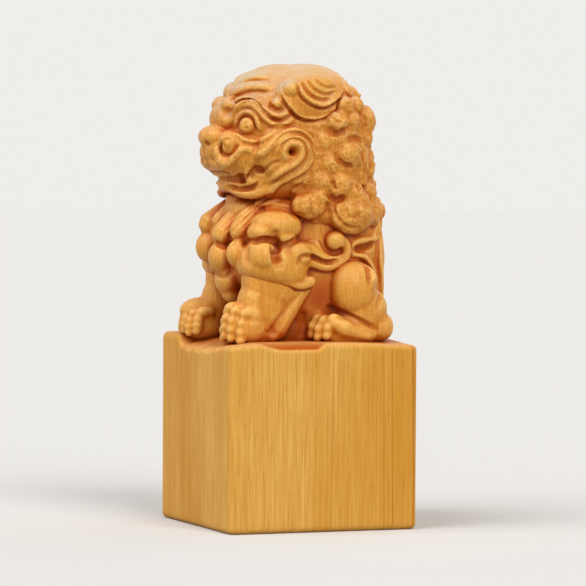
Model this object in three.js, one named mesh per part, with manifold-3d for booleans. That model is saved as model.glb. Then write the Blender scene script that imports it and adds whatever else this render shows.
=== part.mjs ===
// A wooden name seal: a square block with a bare seal face underneath and a seated guardian lion as its knob.
// The real seal is carved from one billet. Here each carved mass of the lion is a solid of its own, and
// a narrow groove, as a knife leaves it, parts each mass from its neighbours.
// Millimetres, +Z up, origin in the middle of the seal face. The lion looks along -Y, and +X is its left.

import * as THREE from "three";
import { mergeVertices } from "three/addons/utils/BufferGeometryUtils.js";
import Module from "manifold-3d";

const wasm = await Module();
wasm.setup();

// The billet
const BLOCK_SIDE = 40;
const BLOCK_HEIGHT = 37.5;
const ARRIS = 1.2; // rounding of the block's edges and corners
const GROOVE = 0.3; // gap between two carved masses
const FRONT_SCOOP_DIP = 2; // depth of the gouge mark in the block's upper front edge
const FRONT_SCOOP_LENGTH = 13; // along the edge
const FRONT_SCOOP_REACH = 5; // in over the top
const SIDE_SCOOP_DIP = 1;
const SIDE_SCOOP_LENGTH = 11.6;
const SIDE_SCOOP_REACH = 3.2;
const SIDE_SCOOP_SETBACK = 13; // from the block's front face to the middle of the gouge mark

// Trunk and hindquarters
const TORSO_SIDE_INSET = 7.8; // from the billet's side to the torso
const TORSO_BACK_INSET = 5; // from the billet's back face to the torso
const TORSO_RISE = 17; // block's top to the torso's middle
const TORSO_HEIGHT = 38;
const TORSO_SETBACK = 10.6; // from the billet's front face to the belly
const BREAST_WIDTH = 21.2;
const BREAST_LENGTH = 15;
const BREAST_HEIGHT = 21;
const BREAST_SETBACK = 8; // from the billet's front face to the breast behind the bib
const NECK_WIDTH = 22;
const NECK_LENGTH = 20;
const HAUNCH_WIDTH = 10.6;
const HAUNCH_LENGTH = 10;
const HAUNCH_HEIGHT = 14;
const HAUNCH_RISE = 9.4; // block's top to the thigh's middle
const HAUNCH_INSET = 3.3; // from the billet's side to the haunch
const HAUNCH_SETBACK = 24; // from the billet's front face to the haunch
const HOCK_LENGTH = 11.4;
const HOCK_HEIGHT = 11;
const HOCK_SETBACK = 25.3;
const TUFT_GIRTH = 1.9; // of the tuft of hair behind the thigh
const HIND_PAW_WIDTH = 9;
const HIND_PAW_LENGTH = 16.6;
const HIND_PAW_HEIGHT = 5.2;
const HIND_PAW_INSET = 3;
const HIND_PAW_SETBACK = 18.6;
const TAIL_WIDTH = 15;
const TAIL_THICKNESS = 4.6;
const TAIL_RISE = 27; // block's top to the tail's tip

// Forelegs
const FORELEG_INSET = 9.6; // from the billet's side to the middle of the foreleg
const SHIN_GIRTH = 8.6;
const ANKLE_GIRTH = 7.6;
const FETLOCK_GIRTH = 3; // of the fringe of hair down the back of the shin
const ARM_RISE = 15; // block's top to the middle of the upper arm
const ARM_WIDTH = 10.6;
const ARM_LENGTH = 15;
const ARM_HEIGHT = 7.4;
const ARM_SLOPE = 0.25; // radians, dropping towards the tail
const ARM_SETBACK = 4.8;
const ARM_LOBE = 6.2; // of the two rounded lobes along the upper arm
const SHOULDER_CURL = 7.6;
const FLAME_GIRTH = 2.8; // of the flame-shaped lock on the flank
const FLAME_LENGTH = 10.2;
const FLAME_RISE = 5;
const FORE_PAW_WIDTH = 9.6;
const FORE_PAW_LENGTH = 10.5;
const FORE_PAW_HEIGHT = 7.2;
const FORE_PAW_SETBACK = 2.4; // from the billet's front face to the pad behind the left toes
const RIGHT_LEAD = 1.4; // how far the right paw and the right of the bib stand ahead of the left
const TOES = 4;
const TOE_SIZE = 3.1;

// Head
const CROWN_RISE = 55.5; // block's top to crown
const SKULL_SIDE_INSET = 6.6; // from the billet's side to the skull
const SKULL_BACK_INSET = 7.4;
const SKULL_HEIGHT = 24.4;
const SKULL_SETBACK = 5.6; // from the billet's front face to the forehead
const SKULL_LEAN = 0.14; // radians, the crown towards the tail
const FOREHEAD_KNOB = 4.2; // size of the knobs between and above the brows
const MUZZLE_WIDTH = 18.5;
const MUZZLE_LENGTH = 15;
const MUZZLE_HEIGHT = 9.4;
const MUZZLE_SETBACK = 1;
const MUZZLE_DROP = 5.2; // below the middle of the skull
const NOSE_WIDTH = 8.4;
const NOSE_LENGTH = 6;
const NOSE_HEIGHT = 5.4;
const NOSE_SETBACK = 0.4;
const NOSTRIL_SIZE = 4.6;
const UPPER_LIP_GIRTH = 2.2;
const JAW_WIDTH = 20.6;
const JAW_LENGTH = 15;
const JAW_HEIGHT = 5.4;
const JAW_SETBACK = 4.7;
const JAW_DROP = 12; // below the middle of the skull
const EYE_SIZE = 5.4;
const BROW_GIRTH = 2.5;
const CHEEK_SIZE = 10; // across the spiral on each cheek
const CHEEK_THICKNESS = 5;
const CHEEK_HOLE = 1.3; // drilled middle of the spiral
const SPIRAL_CUT = 0.9; // of the knife cut that winds round the cheek
const SPIRAL_TURNS = 1.4;
const LIP_GIRTH = 2.4; // of the lower lip's rim, which runs up into the cheek
const EAR_LENGTH = 12.4;
const EAR_HEIGHT = 7.4;
const EAR_THICKNESS = 3.6;
const EAR_FOLD = 1.9; // girth of the folds round the ear

// Mane and bib
const MANE_SIDE_INSET = 5.8; // from the billet's side to the hair under the locks
const MANE_INSET = 4.9; // from the billet's back face to the middles of the lowest locks there
const MANE_LEAN = 3.2; // how far the highest row of locks stands ahead of the lowest
const MANE_OFFSET = 4.8; // from the middle of the skull back to the middle of the mane
const MANE_LOW = 25; // block's top to the lowest row of locks
const MANE_CROWN_DROP = 7.6; // from the crown to the highest row
const MANE_COLLAR = 6; // of hair above and below the locks' middles
const MANE_ROWS = 5; // down the back of the head
const BACK_LOCK = 6.8; // size of the locks there
const SIDE_LOCK = 5; // size of a common lock on the side of the head
const LOCK_SINK = 1.3; // from the hair's surface in to the middle of a lock
const BIB_GROUND = 1.9; // thickness of the hair under the bib's curls
const BIB_SETBACK = 6; // from the billet's front face to the middles of the bib's middle curls
const BIB_CURL = 5.6;
const BIB_PITCH = 6.6; // from the middle of the breast to the outer curls
const BIB_RISE = 17.2; // block's top to the lower row of curls
const BIB_ROW = 5.2; // between the two rows of curls
const BIB_LOCK = 5; // length of the hair from which each upper curl hangs
const BIB_TIP_DROP = 7; // from the lower row to the tip

const BOXWOOD = "#dea04c";
const BOXWOOD_CARVED = "#dc9040";

const front = -BLOCK_SIDE / 2;
const side = BLOCK_SIDE / 2;
const rear = BLOCK_SIDE / 2;

// Solids

function solidOf(geometry) {
  const bare = geometry.clone();
  bare.deleteAttribute("normal");
  bare.deleteAttribute("uv");
  const merged = mergeVertices(bare, 1e-4);
  return new wasm.Manifold(
    new wasm.Mesh({
      numProp: 3,
      vertProperties: new Float32Array(merged.attributes.position.array),
      triVerts: new Uint32Array(merged.index.array),
    }),
  );
}

function geometryOf(solid) {
  const mesh = solid.getMesh();
  const geometry = new THREE.BufferGeometry();
  geometry.setAttribute("position", new THREE.BufferAttribute(mesh.vertProperties, mesh.numProp));
  geometry.setIndex(new THREE.BufferAttribute(mesh.triVerts, 1));
  geometry.computeVertexNormals();
  return geometry;
}

// A rounded mass. Power 2 is an ellipsoid, and a higher power is squarer, as a form roughed out of a billet.
function mass({ at, size, power = 2, turn = [0, 0, 0], sides = 12 }, grow = 0) {
  const geometry = new THREE.SphereGeometry(1, sides, Math.round(sides * 0.6));
  const place = geometry.attributes.position;
  const point = new THREE.Vector3();
  for (let i = 0; i < place.count; i++) {
    point.fromBufferAttribute(place, i).normalize();
    const reach = point.toArray().reduce((sum, c) => sum + Math.abs(c) ** power, 0) ** (-1 / power);
    place.setXYZ(i, ...point.multiplyScalar(reach).toArray());
  }
  geometry.scale(...size.map((s) => s / 2 + grow));
  geometry.applyMatrix4(new THREE.Matrix4().makeRotationFromEuler(new THREE.Euler(...turn)));
  geometry.translate(...at);
  return solidOf(geometry);
}

// A lock of hair or a limb: an oval tube that swells and tapers along a smooth line.
// Girths are the full widths at even steps, measured along the direction across.
// Flat is thickness over width.
function lock({ line, girths, across = [1, 0, 0], flat = 1, sides = 7, steps = 7 }, grow = 0) {
  const curve = new THREE.CatmullRomCurve3(line.map((p) => new THREE.Vector3(...p)));
  const girthAt = (t) => {
    const place = Math.min(t * (girths.length - 1), girths.length - 1 - 1e-9);
    const i = Math.floor(place);
    return girths[i] + (girths[i + 1] - girths[i]) * (place - i);
  };
  const vertices = [];
  for (let i = 0; i <= steps; i++) {
    const t = i / steps;
    const middle = curve.getPoint(t);
    const along = curve.getTangent(t);
    const wide = new THREE.Vector3(...across);
    wide.addScaledVector(along, -along.dot(wide)).normalize();
    const thick = new THREE.Vector3().crossVectors(along, wide);
    const end = i === 0 ? -grow : i === steps ? grow : 0;
    middle.addScaledVector(along, end);
    for (let k = 0; k < sides; k++) {
      const angle = (2 * Math.PI * k) / sides;
      const width = (girthAt(t) / 2 + grow) * Math.cos(angle);
      const thickness = ((girthAt(t) * flat) / 2 + grow) * Math.sin(angle);
      vertices.push(middle.clone().addScaledVector(wide, width).addScaledVector(thick, thickness));
    }
  }
  const first = vertices.length;
  vertices.push(curve.getPoint(0).addScaledVector(curve.getTangent(0), -grow));
  vertices.push(curve.getPoint(1).addScaledVector(curve.getTangent(1), grow));
  const faces = [];
  for (let k = 0; k < sides; k++) {
    const next = (k + 1) % sides;
    const last = steps * sides;
    faces.push(first, next, k, first + 1, last + k, last + next);
    for (let i = 0; i < steps; i++) {
      const [a, b] = [i * sides + k, i * sides + next];
      faces.push(a, b, b + sides, a, b + sides, a + sides);
    }
  }
  const geometry = new THREE.BufferGeometry().setFromPoints(vertices);
  geometry.setIndex(faces);
  return solidOf(geometry);
}

const join = (solids) => solids.reduce((whole, solid) => whole.add(solid));

// The same solid on the lion's other side.
function mirrored(solid) {
  const geometry = geometryOf(solid);
  geometry.scale(-1, 1, 1);
  const faces = geometry.index.array;
  for (let i = 0; i < faces.length; i += 3) [faces[i + 1], faces[i + 2]] = [faces[i + 2], faces[i + 1]];
  return solidOf(geometry);
}

const pair = (solid) => solid.add(mirrored(solid));

// A box that reaches far past the lion, on one side of a plane through the lion's origin.
function beyond(x, z) {
  const far = 4 * CROWN_RISE;
  const box = new THREE.BoxGeometry(far, far, far);
  box.translate((x * far) / 2, 0, (z * far) / 2);
  return box;
}

const underground = solidOf(beyond(0, -1)); // the lion's z = 0 is the block's top
const otherSide = solidOf(beyond(-1, 0).translate(GROOVE / 2, 0, 0));

const largest = (bodies) => bodies.reduce((best, body) => (body.volume() > best.volume() ? body : best));

// Carving goes from the trunk outwards: what is made first keeps its form, and what comes later gives way.
// An off-cut that the knife leaves loose is thrown away.
const finished = [];

function carve(shape) {
  const solid = [underground, ...finished].reduce((rest, cutter) => rest.subtract(cutter), shape(0));
  finished.push(shape(GROOVE));
  return largest(solid.decompose());
}

// The left one of a pair. Both leave their room.
function carveLeft(shape) {
  const left = carve((grow) => shape(grow).subtract(otherSide));
  finished.push(mirrored(finished.at(-1)));
  return left;
}

// The seal block

// A gouge mark: the lower part of an ellipsoid, which meets the block's top in an oval.
function scoop(x, y, lengthX, lengthY, dip) {
  const spread = 1 / Math.cos(Math.PI / 6); // the oval lies half way down from the ellipsoid's middle
  const size = [lengthX * spread, lengthY * spread, 4 * dip];
  return mass({ at: [x, y, BLOCK_HEIGHT + dip], size, sides: 12 });
}

function blockShape() {
  const inner = BLOCK_SIDE / 2 - ARRIS;
  const outline = new THREE.Shape();
  outline.absarc(inner, inner, ARRIS, 0, Math.PI / 2);
  outline.absarc(-inner, inner, ARRIS, Math.PI / 2, Math.PI);
  outline.absarc(-inner, -inner, ARRIS, Math.PI, 1.5 * Math.PI);
  outline.absarc(inner, -inner, ARRIS, 1.5 * Math.PI, 2 * Math.PI);
  outline.closePath();
  const round = 0.98 * ARRIS;
  const billet = new THREE.ExtrudeGeometry(outline, {
    depth: BLOCK_HEIGHT - 2 * ARRIS,
    bevelThickness: ARRIS,
    bevelSize: round,
    bevelOffset: -round,
    bevelSegments: 2,
    curveSegments: 3,
  });
  billet.translate(0, 0, ARRIS);
  const breast = scoop(0, front, FRONT_SCOOP_LENGTH, 2 * FRONT_SCOOP_REACH, FRONT_SCOOP_DIP);
  const flankY = front + SIDE_SCOOP_SETBACK;
  const flank = scoop(side, flankY, 2 * SIDE_SCOOP_REACH, SIDE_SCOOP_LENGTH, SIDE_SCOOP_DIP);
  return solidOf(billet).subtract(breast).subtract(pair(flank));
}

// The trunk and hindquarters

const torsoWidth = BLOCK_SIDE - 2 * TORSO_SIDE_INSET;
const torsoLength = BLOCK_SIDE - TORSO_SETBACK - TORSO_BACK_INSET;
const torsoY = front + TORSO_SETBACK + torsoLength / 2;
const skullWidth = BLOCK_SIDE - 2 * SKULL_SIDE_INSET;
const skullLength = BLOCK_SIDE - SKULL_SETBACK - SKULL_BACK_INSET;
const skullY = front + SKULL_SETBACK + skullLength / 2;
const skullZ = CROWN_RISE - SKULL_HEIGHT / 2;

const breast = (ahead, grow) =>
  mass(
    {
      at: [0, front + BREAST_SETBACK + BREAST_LENGTH / 2 - ahead, TORSO_RISE + BREAST_HEIGHT * 0.06],
      size: [BREAST_WIDTH, BREAST_LENGTH, BREAST_HEIGHT],
      power: 2.4,
      sides: 12,
    },
    grow,
  );

// The barrel of the body, with the breast in front of it and a neck that reaches up into the head.
function torsoShape(grow) {
  const barrel = mass(
    {
      at: [0, torsoY, TORSO_RISE],
      size: [torsoWidth, torsoLength, TORSO_HEIGHT],
      power: 2.7,
      sides: 12,
    },
    grow,
  );
  const neck = mass(
    {
      at: [0, (torsoY + skullY) / 2, (TORSO_RISE + skullZ) / 2],
      size: [NECK_WIDTH, NECK_LENGTH, skullZ - TORSO_RISE],
      power: 2.6,
      sides: 10,
    },
    grow,
  );
  return join([barrel, breast(0, grow), neck]);
}

const haunchX = side - HAUNCH_INSET - HAUNCH_WIDTH / 2;
const haunchY = front + HAUNCH_SETBACK + HAUNCH_LENGTH / 2;

// The thigh stands over the hock, and a tuft of hair curls down behind it.
function haunchShape(grow) {
  const thigh = mass(
    {
      at: [haunchX, haunchY, HAUNCH_RISE],
      size: [HAUNCH_WIDTH, HAUNCH_LENGTH, HAUNCH_HEIGHT],
      power: 2.3,
      turn: [0.1, 0, 0],
      sides: 10,
    },
    grow,
  );
  const hock = mass(
    {
      at: [haunchX, front + HOCK_SETBACK + HOCK_LENGTH / 2, HOCK_HEIGHT / 2],
      size: [HAUNCH_WIDTH, HOCK_LENGTH, HOCK_HEIGHT],
      power: 2.3,
      turn: [-0.3, 0, 0],
      sides: 9,
    },
    grow,
  );
  const x = haunchX + HAUNCH_WIDTH * 0.12;
  const tuft = lock(
    {
      line: [
        [x, haunchY, HAUNCH_RISE + HAUNCH_HEIGHT * 0.5],
        [x, haunchY + HAUNCH_LENGTH * 0.22, HAUNCH_RISE + HAUNCH_HEIGHT * 0.44],
        [x, haunchY + HAUNCH_LENGTH * 0.42, HAUNCH_RISE + HAUNCH_HEIGHT * 0.3],
        [x, haunchY + HAUNCH_LENGTH * 0.44, HAUNCH_RISE + HAUNCH_HEIGHT * 0.12],
      ],
      girths: [TUFT_GIRTH * 0.5, TUFT_GIRTH * 1.1, TUFT_GIRTH, TUFT_GIRTH * 0.6],
      flat: 1.2,
      sides: 6,
    },
    grow,
  );
  return join([thigh, hock, tuft]);
}

// Toes in a row across the front of a paw. The outer ones stand back.
function toes(middle, paw, grow) {
  const pitch = (paw - TOE_SIZE * 0.8) / (TOES - 1);
  return Array.from({ length: TOES }, (_, i) => {
    const off = (i - (TOES - 1) / 2) * pitch;
    const at = [middle[0] + off, middle[1] + Math.abs(off) * 0.22, middle[2]];
    return mass({ at, size: [TOE_SIZE, TOE_SIZE * 1.4, TOE_SIZE * 1.25], sides: 6 }, grow);
  });
}

function hindPawShape(grow) {
  const x = side - HIND_PAW_INSET - HIND_PAW_WIDTH / 2;
  const tip = front + HIND_PAW_SETBACK;
  const foot = mass(
    {
      at: [x, tip + HIND_PAW_LENGTH / 2, HIND_PAW_HEIGHT * 0.3],
      size: [HIND_PAW_WIDTH, HIND_PAW_LENGTH, HIND_PAW_HEIGHT * 1.4],
      power: 2.4,
      sides: 9,
    },
    grow,
  );
  return join([foot, ...toes([x, tip + TOE_SIZE * 0.4, TOE_SIZE * 0.5], HIND_PAW_WIDTH, grow)]);
}

// The tail lies flat up the back, in three swellings like a flame.
const tailShape = (grow) =>
  lock(
    {
      line: [
        [0, rear - TAIL_THICKNESS * 0.7, -ARRIS],
        [0, rear - TAIL_THICKNESS * 0.62, TAIL_RISE * 0.35],
        [0, rear - TAIL_THICKNESS * 0.62, TAIL_RISE * 0.7],
        [0, rear - TAIL_THICKNESS * 0.7, TAIL_RISE],
      ],
      girths: [0.9, 0.62, 1, 0.78, 1.05, 0.8, 0.3].map((share) => share * TAIL_WIDTH),
      flat: TAIL_THICKNESS / TAIL_WIDTH,
      sides: 8,
      steps: 10,
    },
    grow,
  );

// Forelegs

const foreX = side - FORELEG_INSET;
const armY = front + ARM_SETBACK + ARM_LENGTH / 2;
const pawTip = front + FORE_PAW_SETBACK;
const shinY = pawTip + FORE_PAW_LENGTH * 0.72; // where the shin stands on the paw

// The upper arm is a plate of hair with two lobes above and a small curl at its lower rear corner.
function forelegShape(grow) {
  const plate = mass(
    {
      at: [foreX, armY, ARM_RISE],
      size: [ARM_WIDTH, ARM_LENGTH, ARM_HEIGHT],
      power: 2.6,
      turn: [-ARM_SLOPE, 0, 0],
      sides: 9,
    },
    grow,
  );
  const lobes = [-0.26, 0.26].map((share) =>
    mass(
      {
        at: [foreX, armY + share * ARM_LENGTH, ARM_RISE + ARM_HEIGHT * 0.28],
        size: [ARM_WIDTH * 1.03, ARM_LOBE, ARM_LOBE],
        power: 2.3,
        sides: 8,
      },
      grow,
    ),
  );
  const curl = mass(
    {
      at: [foreX + ARM_WIDTH * 0.12, armY + ARM_LENGTH * 0.43, ARM_RISE - ARM_HEIGHT * 0.36],
      size: [ARM_WIDTH * 0.8, ARM_LOBE / 2, ARM_LOBE / 2],
      sides: 7,
    },
    grow,
  );
  const shin = lock(
    {
      line: [
        [foreX, armY, ARM_RISE],
        [foreX, (armY + shinY) / 2, ARM_RISE / 2],
        [foreX, shinY, 0],
        [foreX, shinY, -ARRIS],
      ],
      girths: [SHIN_GIRTH * 1.1, SHIN_GIRTH, ANKLE_GIRTH, ANKLE_GIRTH],
      flat: 1.05,
      sides: 8,
      steps: 5,
    },
    grow,
  );
  const fringe = lock(
    {
      line: [
        [foreX + 1, armY + ARM_LENGTH * 0.38, ARM_RISE - ARM_HEIGHT * 0.4],
        [foreX + 1, armY + ARM_LENGTH * 0.18, ARM_RISE * 0.42],
        [foreX + 1, shinY + ANKLE_GIRTH * 0.4, 0],
        [foreX + 1, shinY + ANKLE_GIRTH * 0.4, -ARRIS],
      ],
      girths: [FETLOCK_GIRTH, FETLOCK_GIRTH * 1.1, FETLOCK_GIRTH, FETLOCK_GIRTH],
      sides: 6,
      steps: 4,
    },
    grow,
  );
  return join([plate, ...lobes, curl, shin, fringe]);
}

// The left paw. The right one stands ahead of it.
function forePawShape(grow, lead = 0) {
  const tip = pawTip - lead;
  const pad = mass(
    {
      at: [foreX, tip + FORE_PAW_LENGTH / 2, FORE_PAW_HEIGHT * 0.3],
      size: [FORE_PAW_WIDTH, FORE_PAW_LENGTH, FORE_PAW_HEIGHT * 1.4],
      power: 2.4,
      sides: 9,
    },
    grow,
  );
  const ends = toes([foreX, tip + TOE_SIZE * 0.3, TOE_SIZE * 0.5], FORE_PAW_WIDTH, grow);
  const knuckles = toes([foreX, tip + TOE_SIZE * 0.85, TOE_SIZE * 1.4], FORE_PAW_WIDTH * 0.86, grow);
  return join([pad, ...ends, ...knuckles]);
}

const shoulderZ = ARM_RISE + ARM_HEIGHT / 2 + SHOULDER_CURL * 0.5;

// The curl above the upper arm is arched like a saddle.
const shoulderCurlShape = (grow) =>
  mass(
    {
      at: [foreX + SHOULDER_CURL * 0.08, armY, shoulderZ],
      size: [SHOULDER_CURL * 1.1, SHOULDER_CURL * 1.3, SHOULDER_CURL * 0.86],
      power: 2.2,
      sides: 11,
    },
    grow,
  );

// The flame sweeps back from the upper arm over the flank and curls up round a ball.
function flameShape(grow) {
  const start = armY + ARM_LENGTH * 0.28;
  const rise = ARM_RISE + ARM_HEIGHT * 0.3;
  const x = torsoWidth / 2;
  const along = (share, up, out) => [
    x + out * FLAME_GIRTH,
    start + share * FLAME_LENGTH,
    rise + up * FLAME_RISE,
  ];
  const sweep = lock(
    {
      line: [
        along(-0.05, -0.2, 0),
        along(0.18, 0.18, 0.15),
        along(0.49, -0.1, 0.15),
        along(0.92, 0, 0.15),
        along(1, 0.56, 0.15),
        along(0.82, 1, 0),
      ],
      girths: [1, 1.7, 1.7, 1.5, 1.3, 0.7].map((share) => share * FLAME_GIRTH),
      flat: 0.7,
      sides: 6,
      steps: 9,
    },
    grow,
  );
  const ball = mass({ at: along(0.75, 0.6, 0.1), size: Array(3).fill(FLAME_GIRTH * 1.5), sides: 8 }, grow);
  return sweep.add(ball);
}

// The head

const skull = {
  at: [0, skullY, skullZ],
  size: [skullWidth, skullLength, SKULL_HEIGHT],
  power: 2.4,
  turn: [-SKULL_LEAN, 0, 0],
  sides: 16,
};

// A point on the skull's left side, at shares of its half length and half height from its middle.
function onSkull(alongY, alongZ, proud = 0) {
  const rest = 1 - Math.abs(alongY) ** skull.power - Math.abs(alongZ) ** skull.power;
  const x = (skullWidth / 2) * Math.max(rest, 0) ** (1 / skull.power);
  return [x + proud, skullY + (alongY * skullLength) / 2, skullZ + (alongZ * SKULL_HEIGHT) / 2];
}

const muzzleY = front + MUZZLE_SETBACK + MUZZLE_LENGTH / 2;
const muzzleZ = skullZ - MUZZLE_DROP;
const jawZ = skullZ - JAW_DROP;
const jawY = front + JAW_SETBACK + JAW_LENGTH / 2;

// The skull, filled out behind the crown, with the muzzle, its hanging lips and knobs on the forehead.
function headShape(grow) {
  const crown = mass(
    {
      at: [0, skullY + skullLength * 0.17, CROWN_RISE - SKULL_HEIGHT * 0.37],
      size: [skullWidth * 0.86, skullLength * 0.67, SKULL_HEIGHT * 0.7],
      power: 2.3,
      sides: 10,
    },
    grow,
  );
  const muzzle = mass(
    {
      at: [0, muzzleY, muzzleZ],
      size: [MUZZLE_WIDTH, MUZZLE_LENGTH, MUZZLE_HEIGHT],
      power: 2.4,
      sides: 12,
    },
    grow,
  );
  const flews = mass(
    {
      at: [MUZZLE_WIDTH * 0.17, muzzleY - MUZZLE_LENGTH * 0.2, muzzleZ - MUZZLE_HEIGHT * 0.3],
      size: [MUZZLE_WIDTH * 0.48, MUZZLE_LENGTH * 0.45, MUZZLE_HEIGHT * 0.4],
      sides: 8,
    },
    grow,
  );
  const lip = lock(
    {
      line: [
        [MUZZLE_WIDTH * 0.34, muzzleY - MUZZLE_LENGTH * 0.22, muzzleZ - MUZZLE_HEIGHT * 0.28],
        [MUZZLE_WIDTH * 0.48, muzzleY, muzzleZ - MUZZLE_HEIGHT * 0.16],
        [MUZZLE_WIDTH * 0.55, muzzleY + MUZZLE_LENGTH * 0.3, muzzleZ + MUZZLE_HEIGHT * 0.05],
      ],
      girths: [1, 1, 0.6].map((share) => share * UPPER_LIP_GIRTH),
      sides: 5,
      steps: 4,
    },
    grow,
  );
  const knobs = [
    { at: onSkull(-0.95, 0.3), size: Array(3).fill(FOREHEAD_KNOB), sides: 7 },
    { at: onSkull(-0.86, 0.42), size: Array(3).fill(FOREHEAD_KNOB * 0.8), sides: 6 },
  ].map((knob) => mass(knob, grow));
  return join([mass(skull, grow), crown, muzzle, ...[flews, lip, ...knobs].map(pair)]);
}

// The nose, with a ball on each side for the nostril's wing.
function noseShape(grow) {
  const y = front + NOSE_SETBACK + NOSE_LENGTH / 2;
  const z = muzzleZ + MUZZLE_HEIGHT * 0.32;
  const size = [NOSE_WIDTH, NOSE_LENGTH, NOSE_HEIGHT];
  const bridge = mass({ at: [0, y, z], size, power: 2.3, turn: [0.25, 0, 0], sides: 10 }, grow);
  const wing = mass(
    {
      at: [NOSE_WIDTH * 0.58, y + NOSE_LENGTH * 0.06, z - NOSTRIL_SIZE * 0.22],
      size: [NOSTRIL_SIZE, NOSTRIL_SIZE, NOSTRIL_SIZE],
      sides: 8,
    },
    grow,
  );
  return bridge.add(pair(wing));
}

const jawShape = (grow) =>
  mass(
    {
      at: [0, jawY, jawZ],
      size: [JAW_WIDTH, JAW_LENGTH, JAW_HEIGHT],
      power: 2.5,
      turn: [0.06, 0, 0],
      sides: 12,
    },
    grow,
  );

const eyeShape = (grow) => mass({ at: onSkull(-0.83, 0.01), size: Array(3).fill(EYE_SIZE), sides: 10 }, grow);

// The brow arches over the eye, dips behind it and turns up under the ear.
const browShape = (grow) =>
  lock(
    {
      line: [
        onSkull(-0.95, 0.1),
        onSkull(-0.88, 0.34),
        onSkull(-0.74, 0.34),
        onSkull(-0.6, 0.12),
        onSkull(-0.46, 0.0),
        onSkull(-0.3, 0.12),
      ],
      girths: [1, 1.5, 1.5, 1.3, 1.3, 0.8].map((share) => share * BROW_GIRTH),
      flat: 0.78,
      sides: 6,
      steps: 11,
    },
    grow,
  );

// The lower lip's rim runs up from the jaw and winds into a spiral on the cheek, with a drilled middle.
function cheekShape(grow) {
  const at = onSkull(-0.3, -0.44);
  const disc = mass(
    { at, size: [CHEEK_THICKNESS, CHEEK_SIZE, CHEEK_SIZE], power: 2.6, turn: [0, 0, -0.12], sides: 12 },
    grow,
  );
  const lip = lock(
    {
      line: [
        [JAW_WIDTH * 0.36, jawY - JAW_LENGTH * 0.36, jawZ],
        [JAW_WIDTH * 0.5, jawY, jawZ],
        [at[0] - CHEEK_THICKNESS * 0.2, at[1] - CHEEK_SIZE * 0.3, at[2] - CHEEK_SIZE * 0.36],
        [at[0], at[1], at[2] - CHEEK_SIZE * 0.36],
      ],
      girths: [0.6, 1.2, 1.3, 1.2].map((share) => share * LIP_GIRTH),
      flat: 0.85,
      sides: 6,
      steps: 6,
    },
    grow,
  );
  if (grow) return disc.add(lip);
  const face = at[0] + CHEEK_THICKNESS / 2;
  const winding = Array.from({ length: 13 }, (_, i) => {
    const share = i / 12;
    const angle = 2 * Math.PI * SPIRAL_TURNS * share;
    const radius = CHEEK_HOLE + (CHEEK_SIZE / 2 - SPIRAL_CUT - CHEEK_HOLE) * share;
    const sink = (share * share * CHEEK_THICKNESS) / 6; // the disc's face falls away towards its rim
    return [face - sink, at[1] + radius * Math.cos(angle), at[2] + radius * Math.sin(angle)];
  });
  const cut = lock({ line: winding, girths: [SPIRAL_CUT, SPIRAL_CUT], sides: 4, steps: 13 });
  const hole = lock({
    line: [
      [face - CHEEK_THICKNESS * 0.4, at[1], at[2]],
      [face + CHEEK_THICKNESS, at[1], at[2]],
    ],
    girths: [CHEEK_HOLE, CHEEK_HOLE],
    across: [0, 0, 1],
    steps: 1,
  });
  return disc.add(lip).subtract(cut).subtract(hole);
}

// The ear lies back along the head like a leaf, and two folds run round its hollow.
function earShape(grow) {
  const at = onSkull(0.03, 0.36);
  const size = [EAR_THICKNESS, EAR_LENGTH, EAR_HEIGHT];
  const leaf = mass({ at, size, power: 2.2, turn: [0.1, -0.3, 0], sides: 10 }, grow);
  const fold = (drop, reach) =>
    lock(
      {
        line: [-1, -0.55, 0.1, 0.7, 1].map((share) => {
          const sag = (1 - share * share) * EAR_HEIGHT * 0.52;
          const y = at[1] + (share * EAR_LENGTH * reach) / 2;
          const z = at[2] + drop * EAR_HEIGHT - sag;
          const x = onSkull(((y - skullY) * 2) / skullLength, ((z - skullZ) * 2) / SKULL_HEIGHT)[0];
          return [x + EAR_THICKNESS * 0.42, y, z];
        }),
        girths: [0.6, 1.1, 1.2, 1.1, 0.6].map((share) => share * EAR_FOLD),
        sides: 5,
      },
      grow,
    );
  return join([leaf, fold(0.12, 1), fold(0.5, 0.72)]);
}

// The mane

const maneWidth = BLOCK_SIDE - 2 * MANE_SIDE_INSET;
const maneY = skullY + MANE_OFFSET;
const maneHigh = CROWN_RISE - MANE_CROWN_DROP;
const maneDeep = rear - MANE_INSET - maneY;

// A point in the mane, at an angle round from the back of the head and a share of the mane's height.
function inMane(angle, share) {
  const squared = (c) => Math.sign(c) * Math.abs(c) ** 0.7;
  return [
    (maneWidth / 2 - LOCK_SINK) * squared(Math.sin(angle)),
    maneY + (maneDeep - MANE_LEAN * share) * squared(Math.cos(angle)),
    MANE_LOW + (maneHigh - MANE_LOW) * share,
  ];
}

function maneLock([degrees, share, width, height], grow) {
  const angle = THREE.MathUtils.degToRad(degrees);
  const thick = Math.min(width, height, SIDE_LOCK * 1.3);
  const size = [width, thick, height];
  return mass({ at: inMane(angle, share), size, power: 2.1, turn: [0, 0, -angle], sides: 7 }, grow);
}

// The hair under the locks, round the back of the head and down to the shoulders.
const collar = (grow) =>
  mass(
    {
      at: [0, maneY, (MANE_LOW + maneHigh) / 2],
      size: [maneWidth, 2 * (maneDeep - MANE_LEAN / 2 + LOCK_SINK), maneHigh - MANE_LOW + 2 * MANE_COLLAR],
      power: 2.7,
      turn: [MANE_LEAN / (maneHigh - MANE_LOW), 0, 0],
      sides: 12,
    },
    grow,
  );

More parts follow.
